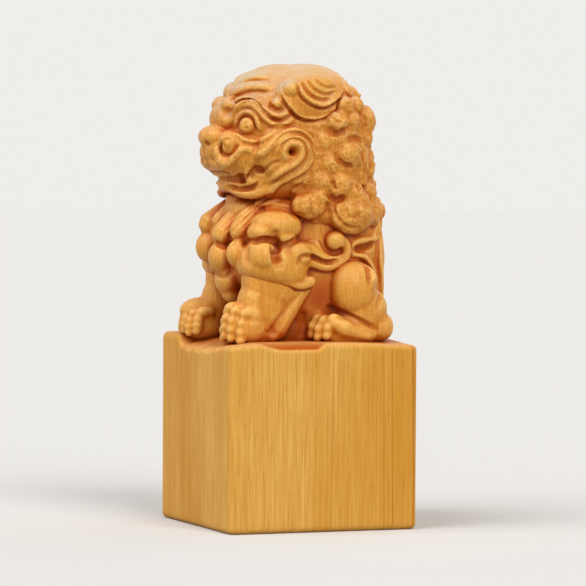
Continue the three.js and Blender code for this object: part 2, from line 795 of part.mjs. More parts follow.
// Each lock on the left: degrees round from the back, share of the mane's height, and its width and height
// over the size of a common lock.
const SIDE_LOCKS = [
  [86, 0.8, 0.98, 0.92],
  [66, 0.85, 0.7, 0.8],
  [40, 0.82, 1, 1.34],
  [78, 0.54, 1.1, 0.94],
  [53, 0.45, 0.76, 1.8],
  [41, 0.45, 0.72, 1.8],
  [87, 0.26, 1.02, 1.1],
  [74, 0.03, 1.76, 1.68],
  [62, 0.14, 0.76, 0.7],
  [117, 0.1, 0.96, 1],
  [99, 0.1, 1.04, 1.12],
].map(([degrees, share, width, height]) => [degrees, share, width * SIDE_LOCK, height * SIDE_LOCK]);

function maneSideShape(grow) {
  const hair = collar(grow).subtract(otherSide).subtract(maneBackRoom);
  return join([hair, ...SIDE_LOCKS.map((one) => maneLock(one, grow))]);
}

// The back of the mane keeps a strip as wide as its three locks.
const backStep = THREE.MathUtils.radToDeg(Math.asin(((BACK_LOCK * 0.95) / (maneWidth / 2)) ** (1 / 0.7)));
const maneBackRoom = solidOf(
  new THREE.BoxGeometry(2.6 * BACK_LOCK, BLOCK_SIDE, 4 * CROWN_RISE).translate(0, maneY + BLOCK_SIDE / 2, 0),
);

// Rows of two and of three locks by turns, so that each lock lies between two of the next row.
function maneBackShape(grow) {
  const locks = [];
  for (let row = 0; row < MANE_ROWS; row++)
    for (const step of row % 2 ? [-1, 0, 1] : [-0.5, 0.5])
      locks.push(maneLock([step * backStep, row / (MANE_ROWS - 1), BACK_LOCK, BACK_LOCK], grow));
  return join([collar(grow), ...locks]);
}

// The bib: three curls that hang from the neck, three balls under them and a leaf-shaped tip.
function bibShape(grow) {
  const curls = [breast(BIB_GROUND, grow)];
  for (const step of [-1, 0, 1]) {
    const x = step * BIB_PITCH;
    const y = front + BIB_SETBACK + (step ? BIB_CURL * 0.28 : 0) - (step < 0 ? RIGHT_LEAD : 0);
    const high = BIB_RISE + BIB_ROW;
    const hanging = lock(
      {
        line: [
          [x * 0.94, y + BIB_LOCK * 0.6, high + BIB_LOCK],
          [x * 0.98, y + BIB_LOCK * 0.24, high + BIB_LOCK * 0.5],
          [x, y, high],
        ],
        girths: [0.4, 0.76, 0.6].map((share) => share * BIB_CURL),
        sides: 6,
        steps: 4,
      },
      grow,
    );
    const curl = mass({ at: [x, y, high], size: Array(3).fill(BIB_CURL * 0.9), sides: 8 }, grow);
    const size = [BIB_CURL * 1.1, BIB_CURL, BIB_CURL * 1.15];
    const ball = mass({ at: [x, y, BIB_RISE], size, sides: 8 }, grow);
    curls.push(hanging, curl, ball);
  }
  const y = front + BIB_SETBACK;
  const tip = lock(
    {
      line: [
        [0, y + BIB_CURL * 0.2, BIB_RISE],
        [0, y + BIB_CURL * 0.25, BIB_RISE - BIB_TIP_DROP * 0.6],
        [0, y + BIB_CURL * 0.45, BIB_RISE - BIB_TIP_DROP],
      ],
      girths: [BIB_CURL, BIB_CURL * 1.35, BIB_CURL * 0.6],
      flat: 0.75,
      steps: 5,
    },
    grow,
  );
  return join([...curls, tip]);
}

// The carving order

const torso = carve(torsoShape);
const haunch = carveLeft(haunchShape);
const hindPaw = carveLeft(hindPawShape);
const foreleg = carveLeft(forelegShape);
const leftForePaw = carve(forePawShape);
const rightForePaw = carve((grow) => mirrored(forePawShape(grow, RIGHT_LEAD)));
const head = carve(headShape);
const jaw = carve(jawShape);
const nose = carve(noseShape);
const cheek = carveLeft(cheekShape);
const eye = carveLeft(eyeShape);
const brow = carveLeft(browShape);
const ear = carveLeft(earShape);
const shoulderCurl = carveLeft(shoulderCurlShape);
const bib = carve(bibShape);
const flame = carveLeft(flameShape);
const maneSide = carveLeft(maneSideShape);
const maneBack = carve(maneBackShape);
const tail = carve(tailShape);

// The assembly

function piece(name, solid, colour, roughness) {
  const material = new THREE.MeshStandardMaterial({ color: colour, roughness, metalness: 0 });
  const mesh = new THREE.Mesh(geometryOf(solid), material);
  mesh.name = name;
  return mesh;
}

const carving = (name, solid) => piece(name, solid, BOXWOOD_CARVED, 0.5);

// A left piece and its mirror image.
function leftAndRight(name, solid) {
  const left = carving("left_" + name, solid);
  const right = carving("right_" + name, solid);
  right.scale.x = -1;
  return [left, right];
}

const headGroup = new THREE.Group();
headGroup.add(
  carving("head", head),
  carving("lower_jaw", jaw),
  carving("nose", nose),
  ...leftAndRight("eye", eye),
  ...leftAndRight("brow", brow),
  ...leftAndRight("cheek_spiral", cheek),
  ...leftAndRight("ear", ear),
  carving("mane_back", maneBack),
  ...leftAndRight("mane", maneSide),
);

const bodyGroup = new THREE.Group();
bodyGroup.add(
  carving("torso", torso),
  carving("bib", bib),
  carving("tail", tail),
  ...leftAndRight("haunch", haunch),
  ...leftAndRight("hind_paw", hindPaw),
  ...leftAndRight("foreleg", foreleg),
  carving("left_forepaw", leftForePaw),
  carving("right_forepaw", rightForePaw),
  ...leftAndRight("shoulder_curl", shoulderCurl),
  ...leftAndRight("flank_flame", flame),
);

const lion = new THREE.Group();
lion.add(headGroup, bodyGroup);
lion.position.z = BLOCK_HEIGHT;

const seal = new THREE.Group();
seal.add(piece("seal_block", blockShape(), BOXWOOD, 0.45), lion);

export default seal;
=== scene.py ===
import math
import bpy
import numpy as np
from mathutils import Matrix, Vector, noise
from mathutils.bvhtree import BVHTree


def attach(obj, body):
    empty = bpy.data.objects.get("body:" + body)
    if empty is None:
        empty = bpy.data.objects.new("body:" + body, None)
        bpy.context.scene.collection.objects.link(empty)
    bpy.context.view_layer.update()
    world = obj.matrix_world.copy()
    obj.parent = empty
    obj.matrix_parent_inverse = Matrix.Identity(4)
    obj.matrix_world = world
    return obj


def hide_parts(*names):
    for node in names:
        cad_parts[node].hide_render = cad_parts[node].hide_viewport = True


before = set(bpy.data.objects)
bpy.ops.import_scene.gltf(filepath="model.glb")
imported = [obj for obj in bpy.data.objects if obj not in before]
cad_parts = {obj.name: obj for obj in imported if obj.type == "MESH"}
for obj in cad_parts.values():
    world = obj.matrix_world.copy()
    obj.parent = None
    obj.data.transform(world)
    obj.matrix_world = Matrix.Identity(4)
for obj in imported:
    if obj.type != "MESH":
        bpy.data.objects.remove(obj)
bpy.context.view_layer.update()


# Seal block
# The lower half of the billet, left as a plain square prism of close straight-grained wood.
# It is sawn, planed and sanded, its arrises eased, and its top scooped out by gouge around the paws.

block_side = 40.0
block_height = 37.5
block_arris = 1.15
block_cuts = 89


def to_metres(piece):
    """A piece is drawn in millimetres; its mesh ends in metres, with the object at the origin."""
    bpy.ops.object.select_all(action="DESELECT")
    piece.select_set(True)
    bpy.context.view_layer.objects.active = piece
    piece.scale = (0.001, 0.001, 0.001)
    bpy.ops.object.transform_apply(location=True, rotation=True, scale=True)


def points_of(piece):
    places = np.empty(len(piece.data.vertices) * 3, np.float32)
    piece.data.vertices.foreach_get("co", places)
    return places.reshape(-1, 3).astype(float)


def set_points(piece, places):
    piece.data.vertices.foreach_set("co", places.astype(np.float32).ravel())
    piece.data.update()


bpy.ops.mesh.primitive_cube_add(size=2, location=(0, 0, 0))
block = bpy.context.object
block.name = "seal_block_wood"
bpy.ops.object.mode_set(mode="EDIT")
bpy.ops.mesh.select_all(action="SELECT")
bpy.ops.mesh.subdivide(number_cuts=block_cuts)
bpy.ops.object.mode_set(mode="OBJECT")
half = np.array((block_side / 2, block_side / 2, block_height / 2))
p = points_of(block) * half
core = np.clip(p, -half + block_arris, half - block_arris)
out = p - core
reach = np.linalg.norm(out, axis=1)
eased = reach > 1e-6
p[eased] = core[eased] + out[eased] * (block_arris / reach[eased])[:, None]
p[:, 2] += block_height / 2


def ramp(value, low, high):
    """0 up to low, 1 from high on, and a smooth rise between them."""
    t = np.clip((value - low) / (high - low), 0, 1)
    return t * t * (3 - 2 * t)


# The top is scooped low ahead of the chest and the left paw and beside the shins, and falls off to the
# rear left corner. A pad is left standing under the right forepaw.
top_band = 5
front_scoop = 2.0
side_scoop = 1.15
corner_fall = 0.7
pad_rise = 0.75
upper = np.clip((p[:, 2] - (block_height - top_band)) / top_band, 0, 1)
across, along = p[:, 0], p[:, 1]
gouge_waves = 1 + 0.14 * np.sin(across * 1.1)
front_cut = ramp(across, -10.6, -7.6) * (1 - 0.75 * ramp(across, 5, 19)) * gouge_waves
front = front_cut * np.clip((-13.0 - along) / 7.0, 0, 1) ** 1.2
side_cut = ramp(along, -14.5, -8.5) * (1 - ramp(along, -1.6, 0.6))
beside = side_cut * np.clip((np.abs(across) - 14.8) / 5.2, 0, 1) ** 0.9
corner = corner_fall * ramp(along, 4, 20) * ramp(across, 4, 20)
p[:, 2] -= upper * (front_scoop * front + side_scoop * beside + corner)
side_pocket = upper * np.sqrt(beside)
p[:, 2] += pad_rise * upper * ramp(-across, 8.4, 11.2) * ramp(-along, 6, 12)
set_points(block, p)
bpy.ops.object.shade_smooth()
to_metres(block)


def wood_grain_group():
    """Straight grain of a billet standing on end: growth rings, fibres along Z and short dark pores."""
    group = bpy.data.node_groups.new("straight_wood_grain", "ShaderNodeTree")
    for name in ("Ring Spacing", "Waver"):
        group.interface.new_socket(name=name, in_out="INPUT", socket_type="NodeSocketFloat")
    for name in ("Rings", "Fibres", "Pores", "Clouds"):
        group.interface.new_socket(name=name, in_out="OUTPUT", socket_type="NodeSocketFloat")
    node, link = group.nodes.new, group.links.new
    given = node("NodeGroupInput")
    ends = node("NodeGroupOutput")
    place = node("ShaderNodeTexCoord")

    def drawn_out(share, location=(0.0, 0.0, 0.0)):
        """Places in the billet with their heights cut to a share, so a pattern is drawn out along Z."""
        made = node("ShaderNodeMapping")
        made.inputs["Location"].default_value = location
        made.inputs["Scale"].default_value = (1.0, 1.0, share)
        link(place.outputs["Object"], made.inputs["Vector"])
        return made.outputs["Vector"]

    def noise_at(where, scale, detail):
        made = node("ShaderNodeTexNoise")
        made.inputs["Scale"].default_value = scale
        made.inputs["Detail"].default_value = detail
        link(where, made.inputs["Vector"])
        return made.outputs["Fac"]

    def sum_of(operation, *values):
        """One step of arithmetic on sockets or plain values."""
        made = node("ShaderNodeMath")
        made.operation = operation
        for value, spot in zip(values, made.inputs):
            if isinstance(value, bpy.types.NodeSocket):
                link(value, spot)
            else:
                spot.default_value = value
        return made.outputs["Value"]

    def between(value, start, end, low=0.0, high=1.0, curve="LINEAR"):
        """A value that goes from low to high while the given one goes from start to end."""
        made = node("ShaderNodeMapRange")
        made.interpolation_type = curve
        for name, given_end in (("From Min", start), ("From Max", end), ("To Min", low), ("To Max", high)):
            made.inputs[name].default_value = given_end
        link(value, made.inputs["Value"])
        return made.outputs["Result"]

    # The pith of the tree stands well outside the billet, so the rings cross it as shallow arcs.
    turned = drawn_out(0.02, location=(0.055, -0.075, 0.0))
    flat = node("ShaderNodeVectorMath")
    flat.operation = "MULTIPLY"
    flat.inputs[1].default_value = (1.0, 1.0, 0.0)
    link(turned, flat.inputs[0])
    span = node("ShaderNodeVectorMath")
    span.operation = "LENGTH"
    link(flat.outputs["Vector"], span.inputs[0])
    sway = noise_at(turned, scale=45.0, detail=2.0)
    wander = sum_of("MULTIPLY_ADD", sway, given.outputs["Waver"], span.outputs["Value"])
    ring_shift = 0.0030
    uneven = noise_at(turned, scale=330.0, detail=1.0)
    spaced = sum_of("MULTIPLY_ADD", uneven, ring_shift, wander)
    years = sum_of("DIVIDE", spaced, given.outputs["Ring Spacing"])
    # Each year is plain at first, darkens over its last third and ends in a sharp line.
    season = sum_of("FRACT", years)
    late = between(season, 0.7, 0.93, curve="SMOOTHSTEP")
    step = between(season, 0.93, 1.0, low=1.0, high=0.0, curve="SMOOTHSTEP")
    # The power leaves few years with a strong line.
    few_strong = 2.4
    year = node("ShaderNodeTexWhiteNoise")
    year.noise_dimensions = "1D"
    link(sum_of("FLOOR", years), year.inputs["W"])
    strong = sum_of("POWER", year.outputs["Value"], few_strong)
    drawn_ring = sum_of("MULTIPLY", sum_of("MULTIPLY", late, step), strong)
    # Good and lean years come in runs, so the lines are dense in some bands and faint in others.
    runs = noise_at(turned, scale=75.0, detail=1.0)
    lean = between(runs, 0.36, 0.6, low=0.25)
    link(sum_of("MULTIPLY", drawn_ring, lean), ends.inputs["Rings"])
    # Fibres and pores run the length of the billet, so their noise is drawn out along Z.
    link(noise_at(drawn_out(0.035), scale=2300.0, detail=4.0), ends.inputs["Fibres"])
    cells = noise_at(drawn_out(0.09), scale=3200.0, detail=1.0)
    link(between(cells, 0.62, 0.74), ends.inputs["Pores"])
    link(noise_at(drawn_out(0.12), scale=130.0, detail=3.0), ends.inputs["Clouds"])
    return group


grain_group = wood_grain_group()


def mixed(tree, share, low, high):
    """A colour mix: low and high are colours or sockets, share a value or socket."""
    mix = tree.nodes.new("ShaderNodeMix")
    mix.data_type = "RGBA"
    for value, spot in ((share, 0), (low, 6), (high, 7)):
        if isinstance(value, bpy.types.NodeSocket):
            tree.links.new(value, mix.inputs[spot])
        else:
            mix.inputs[spot].default_value = value if spot == 0 else (*value, 1.0)
    return mix.outputs[2]


def scaled(tree, value, factor, plus=0.0):
    """A value times a factor, plus a value, kept between 0 and 1."""
    sum_node = tree.nodes.new("ShaderNodeMath")
    sum_node.operation = "MULTIPLY_ADD"
    sum_node.use_clamp = True
    tree.links.new(value, sum_node.inputs[0])
    sum_node.inputs[1].default_value = factor
    sum_node.inputs[2].default_value = plus
    return sum_node.outputs[0]


def kept_value(tree, name):
    """A value kept at the points of a piece, for its material."""
    spot = tree.nodes.new("ShaderNodeAttribute")
    spot.attribute_name = name
    return spot.outputs["Fac"]


def planed_wood():
    made = bpy.data.materials.new("planed_block_wood")
    made.use_nodes = True
    tree = made.node_tree
    shader = tree.nodes["Principled BSDF"]
    grain = tree.nodes.new("ShaderNodeGroup")
    grain.node_tree = grain_group
    grain.inputs["Ring Spacing"].default_value = 0.00085
    grain.inputs["Waver"].default_value = 0.0035
    honey = (0.62, 0.285, 0.036)
    straw = (0.77, 0.450, 0.115)
    fibre_tan = (0.55, 0.235, 0.026)
    ring_brown = (0.40, 0.135, 0.012)
    pore_brown = (0.34, 0.115, 0.014)
    end_grain_sheen_tan = (0.62, 0.300, 0.110)
    oil_and_shade_red = (0.40, 0.085, 0.006)
    body = mixed(tree, scaled(tree, grain.outputs["Clouds"], 2.6, -0.8), honey, straw)
    fibre = mixed(tree, scaled(tree, grain.outputs["Fibres"], 2.2, -0.8), body, fibre_tan)
    ring = mixed(tree, scaled(tree, grain.outputs["Rings"], 1.0), fibre, ring_brown)
    pore = mixed(tree, scaled(tree, grain.outputs["Pores"], 0.32), ring, pore_brown)
    # The end grain on top is painted paler, partly as its own tone and partly as a painted sheen of the sky
    # on the faces turned up.
    end_grain_and_sheen_top = mixed(tree, scaled(tree, kept_value(tree, "end_grain_and_sheen"), 0.7), pore, end_grain_sheen_tan)
    # Painted shade, partly pooled oil, reddens the hollows close under the carving, and the scoops beside
    # the shins are painted redder.
    shaded = mixed(tree, scaled(tree, kept_value(tree, "recess"), 1.7, -0.2), end_grain_and_sheen_top, oil_and_shade_red)
    tree.links.new(shaded, shader.inputs["Base Color"])
    rough = scaled(tree, grain.outputs["Fibres"], 0.3, 0.34)
    tree.links.new(rough, shader.inputs["Roughness"])
    shader.inputs["Specular IOR Level"].default_value = 0.06
    bump = tree.nodes.new("ShaderNodeBump")
    bump.inputs["Strength"].default_value = 0.18
    bump.inputs["Distance"].default_value = 0.0002
    tree.links.new(grain.outputs["Fibres"], bump.inputs["Height"])
    tree.links.new(bump.outputs["Normal"], shader.inputs["Normal"])
    return made


block.data.materials.append(planed_wood())
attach(block, "root")
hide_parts("seal_block")


# Lion's body
# Torso, haunches, forelegs, paws and tail, cut from the upper half of the same billet.
# The masses are roughed out with a saw and wide gouges, then rounded with small ones and rubbed smooth.

def lump(at, half, turn=(0, 0, 0), square=2.0):
    """One rounded mass of wood: a ball stretched to its half sizes, squared up where wanted."""
    bpy.ops.mesh.primitive_uv_sphere_add(segments=28, ring_count=18, radius=1)
    made = bpy.context.object
    if square != 2.0:
        p = points_of(made)
        p = p / np.maximum((np.abs(p) ** square).sum(1) ** (1 / square), 1e-9)[:, None]
        set_points(made, p)
    made.scale = half
    made.rotation_euler = [math.radians(a) for a in turn]
    made.location = at
    return [made]


def lumps(at, half, turn=(0, 0, 0), square=2.0):
    """The same mass on the lion's left and, mirrored, on its right."""
    over = (-at[0], at[1], at[2])
    return lump(at, half, turn, square) + lump(over, half, (turn[0], -turn[1], -turn[2]), square)


def strand(line, girths):
    """One lock, rib or limb: a round bar bent along a line, thick and thin along it, with rounded ends."""
    line = [Vector(q) for q in line]
    girths = [float(g) for g in np.broadcast_to(girths, len(line))]
    tip, tail = (line[0] - line[1]).normalized(), (line[-1] - line[-2]).normalized()
    first, last = girths[0], girths[-1]
    shoulder, point = 0.7, 0.1
    before = [line[0] + tip * first, line[0] + tip * first * shoulder]
    after = [line[-1] + tail * last * shoulder, line[-1] + tail * last]
    line = before + line + after
    girths = [first * point, first * shoulder] + girths + [last * shoulder, last * point]
    bpy.ops.curve.primitive_bezier_curve_add()
    made = bpy.context.object
    made.data.dimensions = "3D"
    made.data.fill_mode = "FULL"
    made.data.bevel_depth = 1.0
    made.data.bevel_resolution = 3
    made.data.resolution_u = 5
    made.data.use_fill_caps = True
    spline = made.data.splines[0]
    spline.bezier_points.add(len(line) - len(spline.bezier_points))
    for knot, place, girth in zip(spline.bezier_points, line, girths):
        knot.co = place
        knot.handle_left_type = knot.handle_right_type = "AUTO"
        knot.radius = girth
    bpy.ops.object.convert(target="MESH")
    return [bpy.context.object]


def strands(line, girths):
    """The same bar on the lion's left and, mirrored, on its right."""
    return strand(line, girths) + strand([(-x, y, z) for x, y, z in line], girths)


# Direction in which the carved lines are laid onto the flank, from a plane beside it.
# The last two are about the same direction, as a unit vector outward and ahead.
flank_at = 14.0
flank_slide = 0.383
flank_rise = 0.04
flank_out = 0.929
flank_ahead = 0.368


def on_flank(line, x):
    """Points of a line drawn on the plane beside the flank, moved in to a depth x."""
    return [(x, y + flank_slide * (flank_at - x), z - flank_rise * (flank_at - x)) for y, z in line]


def fuse(name, parts, voxel, rounds):
    """Masses become one skin, and the corners between them are rubbed round."""
    bpy.ops.object.select_all(action="DESELECT")
    for part in parts:
        part.select_set(True)
    bpy.context.view_layer.objects.active = parts[0]
    bpy.ops.object.join()
    bpy.ops.object.transform_apply(location=True, rotation=True, scale=True)
    made = bpy.context.object
    made.name = name
    skin = made.modifiers.new("skin", "REMESH")
    skin.mode = "VOXEL"
    skin.voxel_size = voxel
    rub = made.modifiers.new("rub", "SMOOTH")
    rub.factor = 0.5
    rub.iterations = rounds
    for modifier in ("skin", "rub"):
        bpy.ops.object.modifier_apply(modifier=modifier)
    bpy.ops.object.shade_smooth()
    return made


def normals_of(piece):
    found = np.empty(len(piece.data.vertices) * 3, np.float32)
    piece.data.vertex_normals.foreach_get("vector", found)
    return found.reshape(-1, 3).astype(float)


def distance_to(spots, line):
    """How far each spot lies from a drawn line, how far along it, and on which hand (above 0 is left)."""
    best = np.full(len(spots), 1e9)
    along = np.zeros(len(spots))
    hand = np.ones(len(spots))
    line = np.array(line, float)
    lengths = np.linalg.norm(np.diff(line, axis=0), axis=1)
    total = lengths.sum()
    done = 0.0
    for start, end, length in zip(line[:-1], line[1:], lengths):
        d = (end - start) / max(length, 1e-9)
        t = np.clip((spots - start) @ d, 0, length)
        off = spots - start
        gap = np.linalg.norm(off - t[:, None] * d, axis=1)
        nearer = gap < best
        best = np.where(nearer, gap, best)
        along = np.where(nearer, (done + t) / total, along)
        hand = np.where(nearer, np.sign(d[0] * off[:, 1] - d[1] * off[:, 0]), hand)
        done += length
    return best, along, hand


def rounded(line, steps=4):
    """A drawn line through its points, as a smooth curve."""
    line = [np.array(q, float) for q in line]
    if len(line) < 3:
        return line
    ends = [2 * line[0] - line[1]] + line + [2 * line[-1] - line[-2]]
    curve = []
    for a, b, c, d in zip(ends[:-3], ends[1:-2], ends[2:-1], ends[3:]):
        for k in range(steps):
            t = k / steps
            curve.append(0.5 * (2 * b + (c - a) * t + (2 * a - 5 * b + 4 * c - d) * t * t
                                + (3 * b - a - 3 * c + d) * t ** 3))
    return curve + [line[-1]]


def bell(distance, width):
    """A round-topped swell that dies out smoothly at its width."""
    t = np.clip(1 - (distance / width) ** 2, 0, None)
    return t * t


def carve(piece, cuts, nearest=2.0, facing=0.05, way="flank", sides="both"):
    """Cuts along lines drawn beside, before or behind the lion, each with a height and a width.
    A height above 0 is a round rib, and one below 0 a groove or a pit. With a fourth value it is a
    ledge, which swells up to its edge on the line's left and drops on its right."""
    for line, height, width, *drop in cuts:
        p = points_of(piece)
        n = normals_of(piece)
        out = np.abs(p[:, 0])
        if way == "flank":
            if sides == "left":
                out = p[:, 0]
            inward = flank_at - out
            spots = np.stack([p[:, 1] - flank_slide * inward, p[:, 2] + flank_rise * inward], 1)
            outward = n[:, 0] * (1 if sides == "left" else np.sign(p[:, 0]))
            toward = outward * flank_out - n[:, 1] * flank_ahead
        else:
            spots = np.stack([out, p[:, 2]], 1)
            toward = n[:, 1] * (-1 if way == "front" else 1)
        drawn = np.array(line, float).reshape(-1, 2)
        low, high = drawn.min(0) - width, drawn.max(0) + width
        near = ((spots > low) & (spots < high)).all(1) & (toward > facing)
        if way == "flank":
            near &= out > nearest
        if not near.any():
            continue
        if len(drawn) == 1:
            gap = np.linalg.norm(spots[near] - drawn[0], axis=1)
            along, hand = np.full(len(gap), 0.5), np.ones(len(gap))
        else:
            gap, along, hand = distance_to(spots[near], rounded(line))
        ends = np.clip(np.minimum(along, 1 - along) / 0.12, 0, 1) ** 0.5
        if drop:
            swell = height * np.clip(1 - gap / width, 0, None) ** 1.5
            fall = -drop[0] * bell(gap, 0.45 * width)
            depth = fall + (swell - fall) * ramp(hand * gap, -0.14, 0.14)
        else:
            t = np.clip(1 - (gap / width) ** 2, 0, None)
            depth = height * (t ** 0.8 if height > 0 else t * t)
        # A cut is shallower at its ends, and dies out where the surface turns away.
        depth = depth * (0.35 + 0.65 * ends) * np.clip((toward[near] - facing) / 0.35, 0, 1)
        p[near] += n[near] * depth[:, None]
        set_points(piece, p)
    rub = piece.modifiers.new("rub", "SMOOTH")
    rub.factor = 0.4
    rub.iterations = 2
    bpy.ops.object.select_all(action="DESELECT")
    piece.select_set(True)
    bpy.context.view_layer.objects.active = piece
    bpy.ops.object.modifier_apply(modifier="rub")


body = []
# torso
body += lump((0, 4.4, 54), (12.2, 13.6, 19), square=2.8)
body += lump((0, -4.6, 56), (11.0, 8.4, 11), square=2.3)
body += lump((0, 4, 41), (10.2, 12, 7), square=3.0)
body += lump((0, 9, 51), (11.2, 9.4, 15.5), square=2.8)
# haunches and hind feet
body += lumps((11.4, 8.9, 47.6), (5.3, 4.9, 6.0), (6, 0, 0), 2.3)
body += lumps((10.8, 10.9, 43.6), (5.3, 5.5, 5.2), (-18, 0, 0), 2.3)
body += lumps((11.0, 14.2, 40.2), (4.4, 3.6, 3.2), square=2.3)
body += lumps((12.0, 8.4, 39.2), (4.2, 6.6, 3.1), (6, 0, 0), 2.3)
body += strands(on_flank([(4.4, 41.0), (6.2, 40.1), (8.4, 39.2), (11.4, 38.3)], 15.4), [1.3, 1.9, 1.5, 0.8])
hind_toe = ((3.0, 41.6), (1.5, 41.7), (0.9, 40.8), (0.4, 40.0), (0.6, 39.3), (0.2, 38.4))
hind_toe_girths = [0.9, 1.25, 0.8, 1.1, 0.8, 1.0]
for x, y, up in ((9.4, 0.1, 0.0), (11.3, 0.2, 0.3), (13.2, 0.9, -0.1), (14.9, 2.1, 0.2)):
    body += strands([(x, y + rear, z + up) for rear, z in hind_toe], hind_toe_girths)
# forelegs
body += strands([(10.2, -8.0, 55), (10.4, -9.4, 49), (10.4, -11.2, 43), (10.4, -12, 39.5)],
                [3.0, 3.3, 2.8, 2.7])
body += lumps((10.2, -8.0, 49.2), (3.7, 5.7, 5.4), square=3.0)
body += lumps((10.2, -10.0, 44.4), (3.6, 4.8, 5.4), (-14, 0, 0), 2.8)
body += lumps((10.2, -11.2, 40.6), (3.4, 3.4, 4.2), (-14, 0, 0), 2.6)
body += strands(on_flank([(-1.7, 48.2), (-4.2, 44.4), (-6.1, 41.3), (-7.6, 39.2), (-9.0, 38.2)], 12.2),
                [1.2, 1.0, 0.95, 0.95, 0.9])
body += strands(on_flank([(-3.4, 47.6), (-5.6, 43.6), (-7.9, 39.6)], 11.4), [2.2, 2.1, 2.0])
# forepaws, of which the right one stands further ahead, on its pad, with shorter toes under a dome
toe_foot = 38.4
pad_foot = 38.8
short_share = 0.68
fore_toe = ((3.2, 44.0), (1.2, 43.6), (1.0, 42.7), (0.5, 41.7),
            (0.8, 40.9), (0.3, 40.0), (0.6, 39.2), (0.2, toe_foot))
fore_toe_girths = [0.9, 1.25, 0.8, 1.1, 0.8, 1.15, 0.8, 1.0]
fore_toes = ((5.9, -15.7, 0.2), (7.7, -16.6, -0.3), (9.5, -16.9, 0.4),
             (11.3, -16.4, -0.1), (13.0, -15.1, -0.6))
for side, ahead in ((1, -0.4), (-1, -2.05)):
    body += lump((side * 10.0, -12.4 + ahead, 40.2), (4.4, 4.1, 3.5), square=2.3)
    body += lump((side * 10.5, -11.9 + ahead, 42.8), (3.8, 3.4, 2.9))
    low, share = (toe_foot, 1.0) if side > 0 else (pad_foot, short_share)
    for x, y, up in fore_toes:
        y += ahead - (0.3 * max(0, x - 10) if side < 0 else 0)
        toe = [(side * x, y + rear, low + share * (z - toe_foot + up)) for rear, z in fore_toe]
        body += strand(toe, fore_toe_girths)
body += lump((-11.0, -14.6, 42.7), (4.0, 4.6, 2.8))
# tail laid flat against the back
body += lump((0, 15.8, 51), (7.4, 3.2, 15), square=2.3)
body += strand([(0, 16.6, 38.6), (0, 17.0, 47), (0, 17.6, 56), (0, 17.6, 63)], [1.6, 2.0, 2.2, 0.9])
body += strands([(2.4, 16.6, 40), (4.6, 16.6, 47), (5.8, 16.7, 54), (4.6, 17.0, 61.4)],
                [1.3, 1.7, 1.8, 1.0])
body += strands([(5.4, 15.8, 39), (7.6, 16.0, 45), (8.8, 15.6, 51), (8.2, 15.8, 58)],
                [1.3, 1.5, 1.5, 0.9])
lion_body = fuse("lion_body_carving", body, voxel=0.285, rounds=3)
# haunch curls and tuft, the line before the tail, foreleg and fringe, hind paw and the ground before it
carve(lion_body, [
    ([(7.7, 54.7), (9.3, 54.5), (10.7, 54.0), (12.0, 52.2), (12.5, 50.2), (12.3, 48.7)], 1.0, 0.9),
    ([(9.6, 53.4), (10.6, 53.0), (11.4, 51.6), (11.6, 49.7), (11.8, 48.4)], -0.7, 0.6),
    ([(7.7, 55.7), (8.5, 57.0), (9.8, 57.6), (11.7, 57.7), (13.1, 58.5), (13.6, 60.3),
      (13.8, 63.0)], 1.1, 0.9),
    ([(8.9, 55.9), (11.0, 56.1), (12.7, 56.9)], -1.0, 0.9),
    ([(14.2, 60.0), (13.9, 56.3), (13.6, 53.0), (14.3, 49.6), (14.5, 47.0), (13.5, 44.3)], -0.7, 0.9),
    ([(-12.9, 47.6), (-13.2, 44.6), (-12.8, 42.4), (-12.0, 40.4)], 0.3, 1.6),
    ([(-10.4, 40.0), (-9.7, 39.3), (-8.6, 40.8), (-5.8, 44.4), (-3.1, 47.0)], -0.3, 0.5),
    ([(3.0, 44.4), (4.9, 43.5), (8.2, 42.3), (10.9, 41.1), (13.6, 39.6)], -0.8, 0.7),
    ([(5.2, 42.6), (8.2, 41.4), (11.0, 40.1), (13.0, 38.9)], -0.35, 0.4),
    ([(-2.4, 43.4), (-2.4, 40.4), (-2.8, 38.2)], -0.5, 1.2),
])
to_metres(lion_body)


# Bib, shoulder curls, arm plates and flank flames
# Raised ornaments on the chest and shoulders, left standing while the ground around them is cut away.
# Each is rounded over on its own and undercut a little, so it throws a thin shadow.

chest = []
# neck and bib
chest += lump((0, -7.0, 56), (10.0, 6.9, 10), square=2.4)
chest += lump((0, -6.4, 62.6), (8.8, 7.0, 4.4), square=2.3)
chest += lump((-1.4, -9.8, 65.6), (4.6, 3.0, 2.1))
chest += strand(on_flank([(-18.3, 65.7), (-20.4, 63.4), (-22.4, 61.3)], -6.4), [1.1, 1.9, 2.5])
chest += lump((-6.6, -14.8, 55.8), (3.1, 2.6, 3.2))
chest += strand(on_flank([(-15.4, 65.8), (-17.8, 63.8), (-20.2, 61.8)], -2.6), [1.5, 1.9, 1.8])
chest += strand(on_flank([(-12.6, 65.4), (-16.4, 62.3), (-19.5, 59.2)], 1.4), [1.8, 2.4, 2.4])
chest += strand(on_flank([(-10.0, 65.6), (-13.6, 62.6), (-15.9, 59.7)], 5.7), [1.8, 2.3, 2.2])
chest += lump((0.4, -14.5, 54.0), (3.4, 2.8, 3.3))
chest += lump((-2.8, -13.4, 58.4), (2.8, 2.2, 2.8))
chest += lump((6.3, -13.1, 54.8), (2.7, 2.6, 2.9))
chest += lump((0.2, -12.9, 49.6), (3.8, 2.8, 3.6))
chest += lump((0.6, -12.1, 46.9), (2.5, 2.5, 2.3))
# shoulder curls
chest += lumps((10.6, -6.9, 60.3), (4.6, 5.1, 3.3), square=2.2)
chest += lumps((11.4, -10.9, 59.2), (3.2, 2.2, 2.0))
chest += lumps((11.6, -6.2, 58.2), (3.6, 2.8, 2.0))
chest += lumps((10.4, -7.6, 57.2), (3.4, 4.6, 2.4))
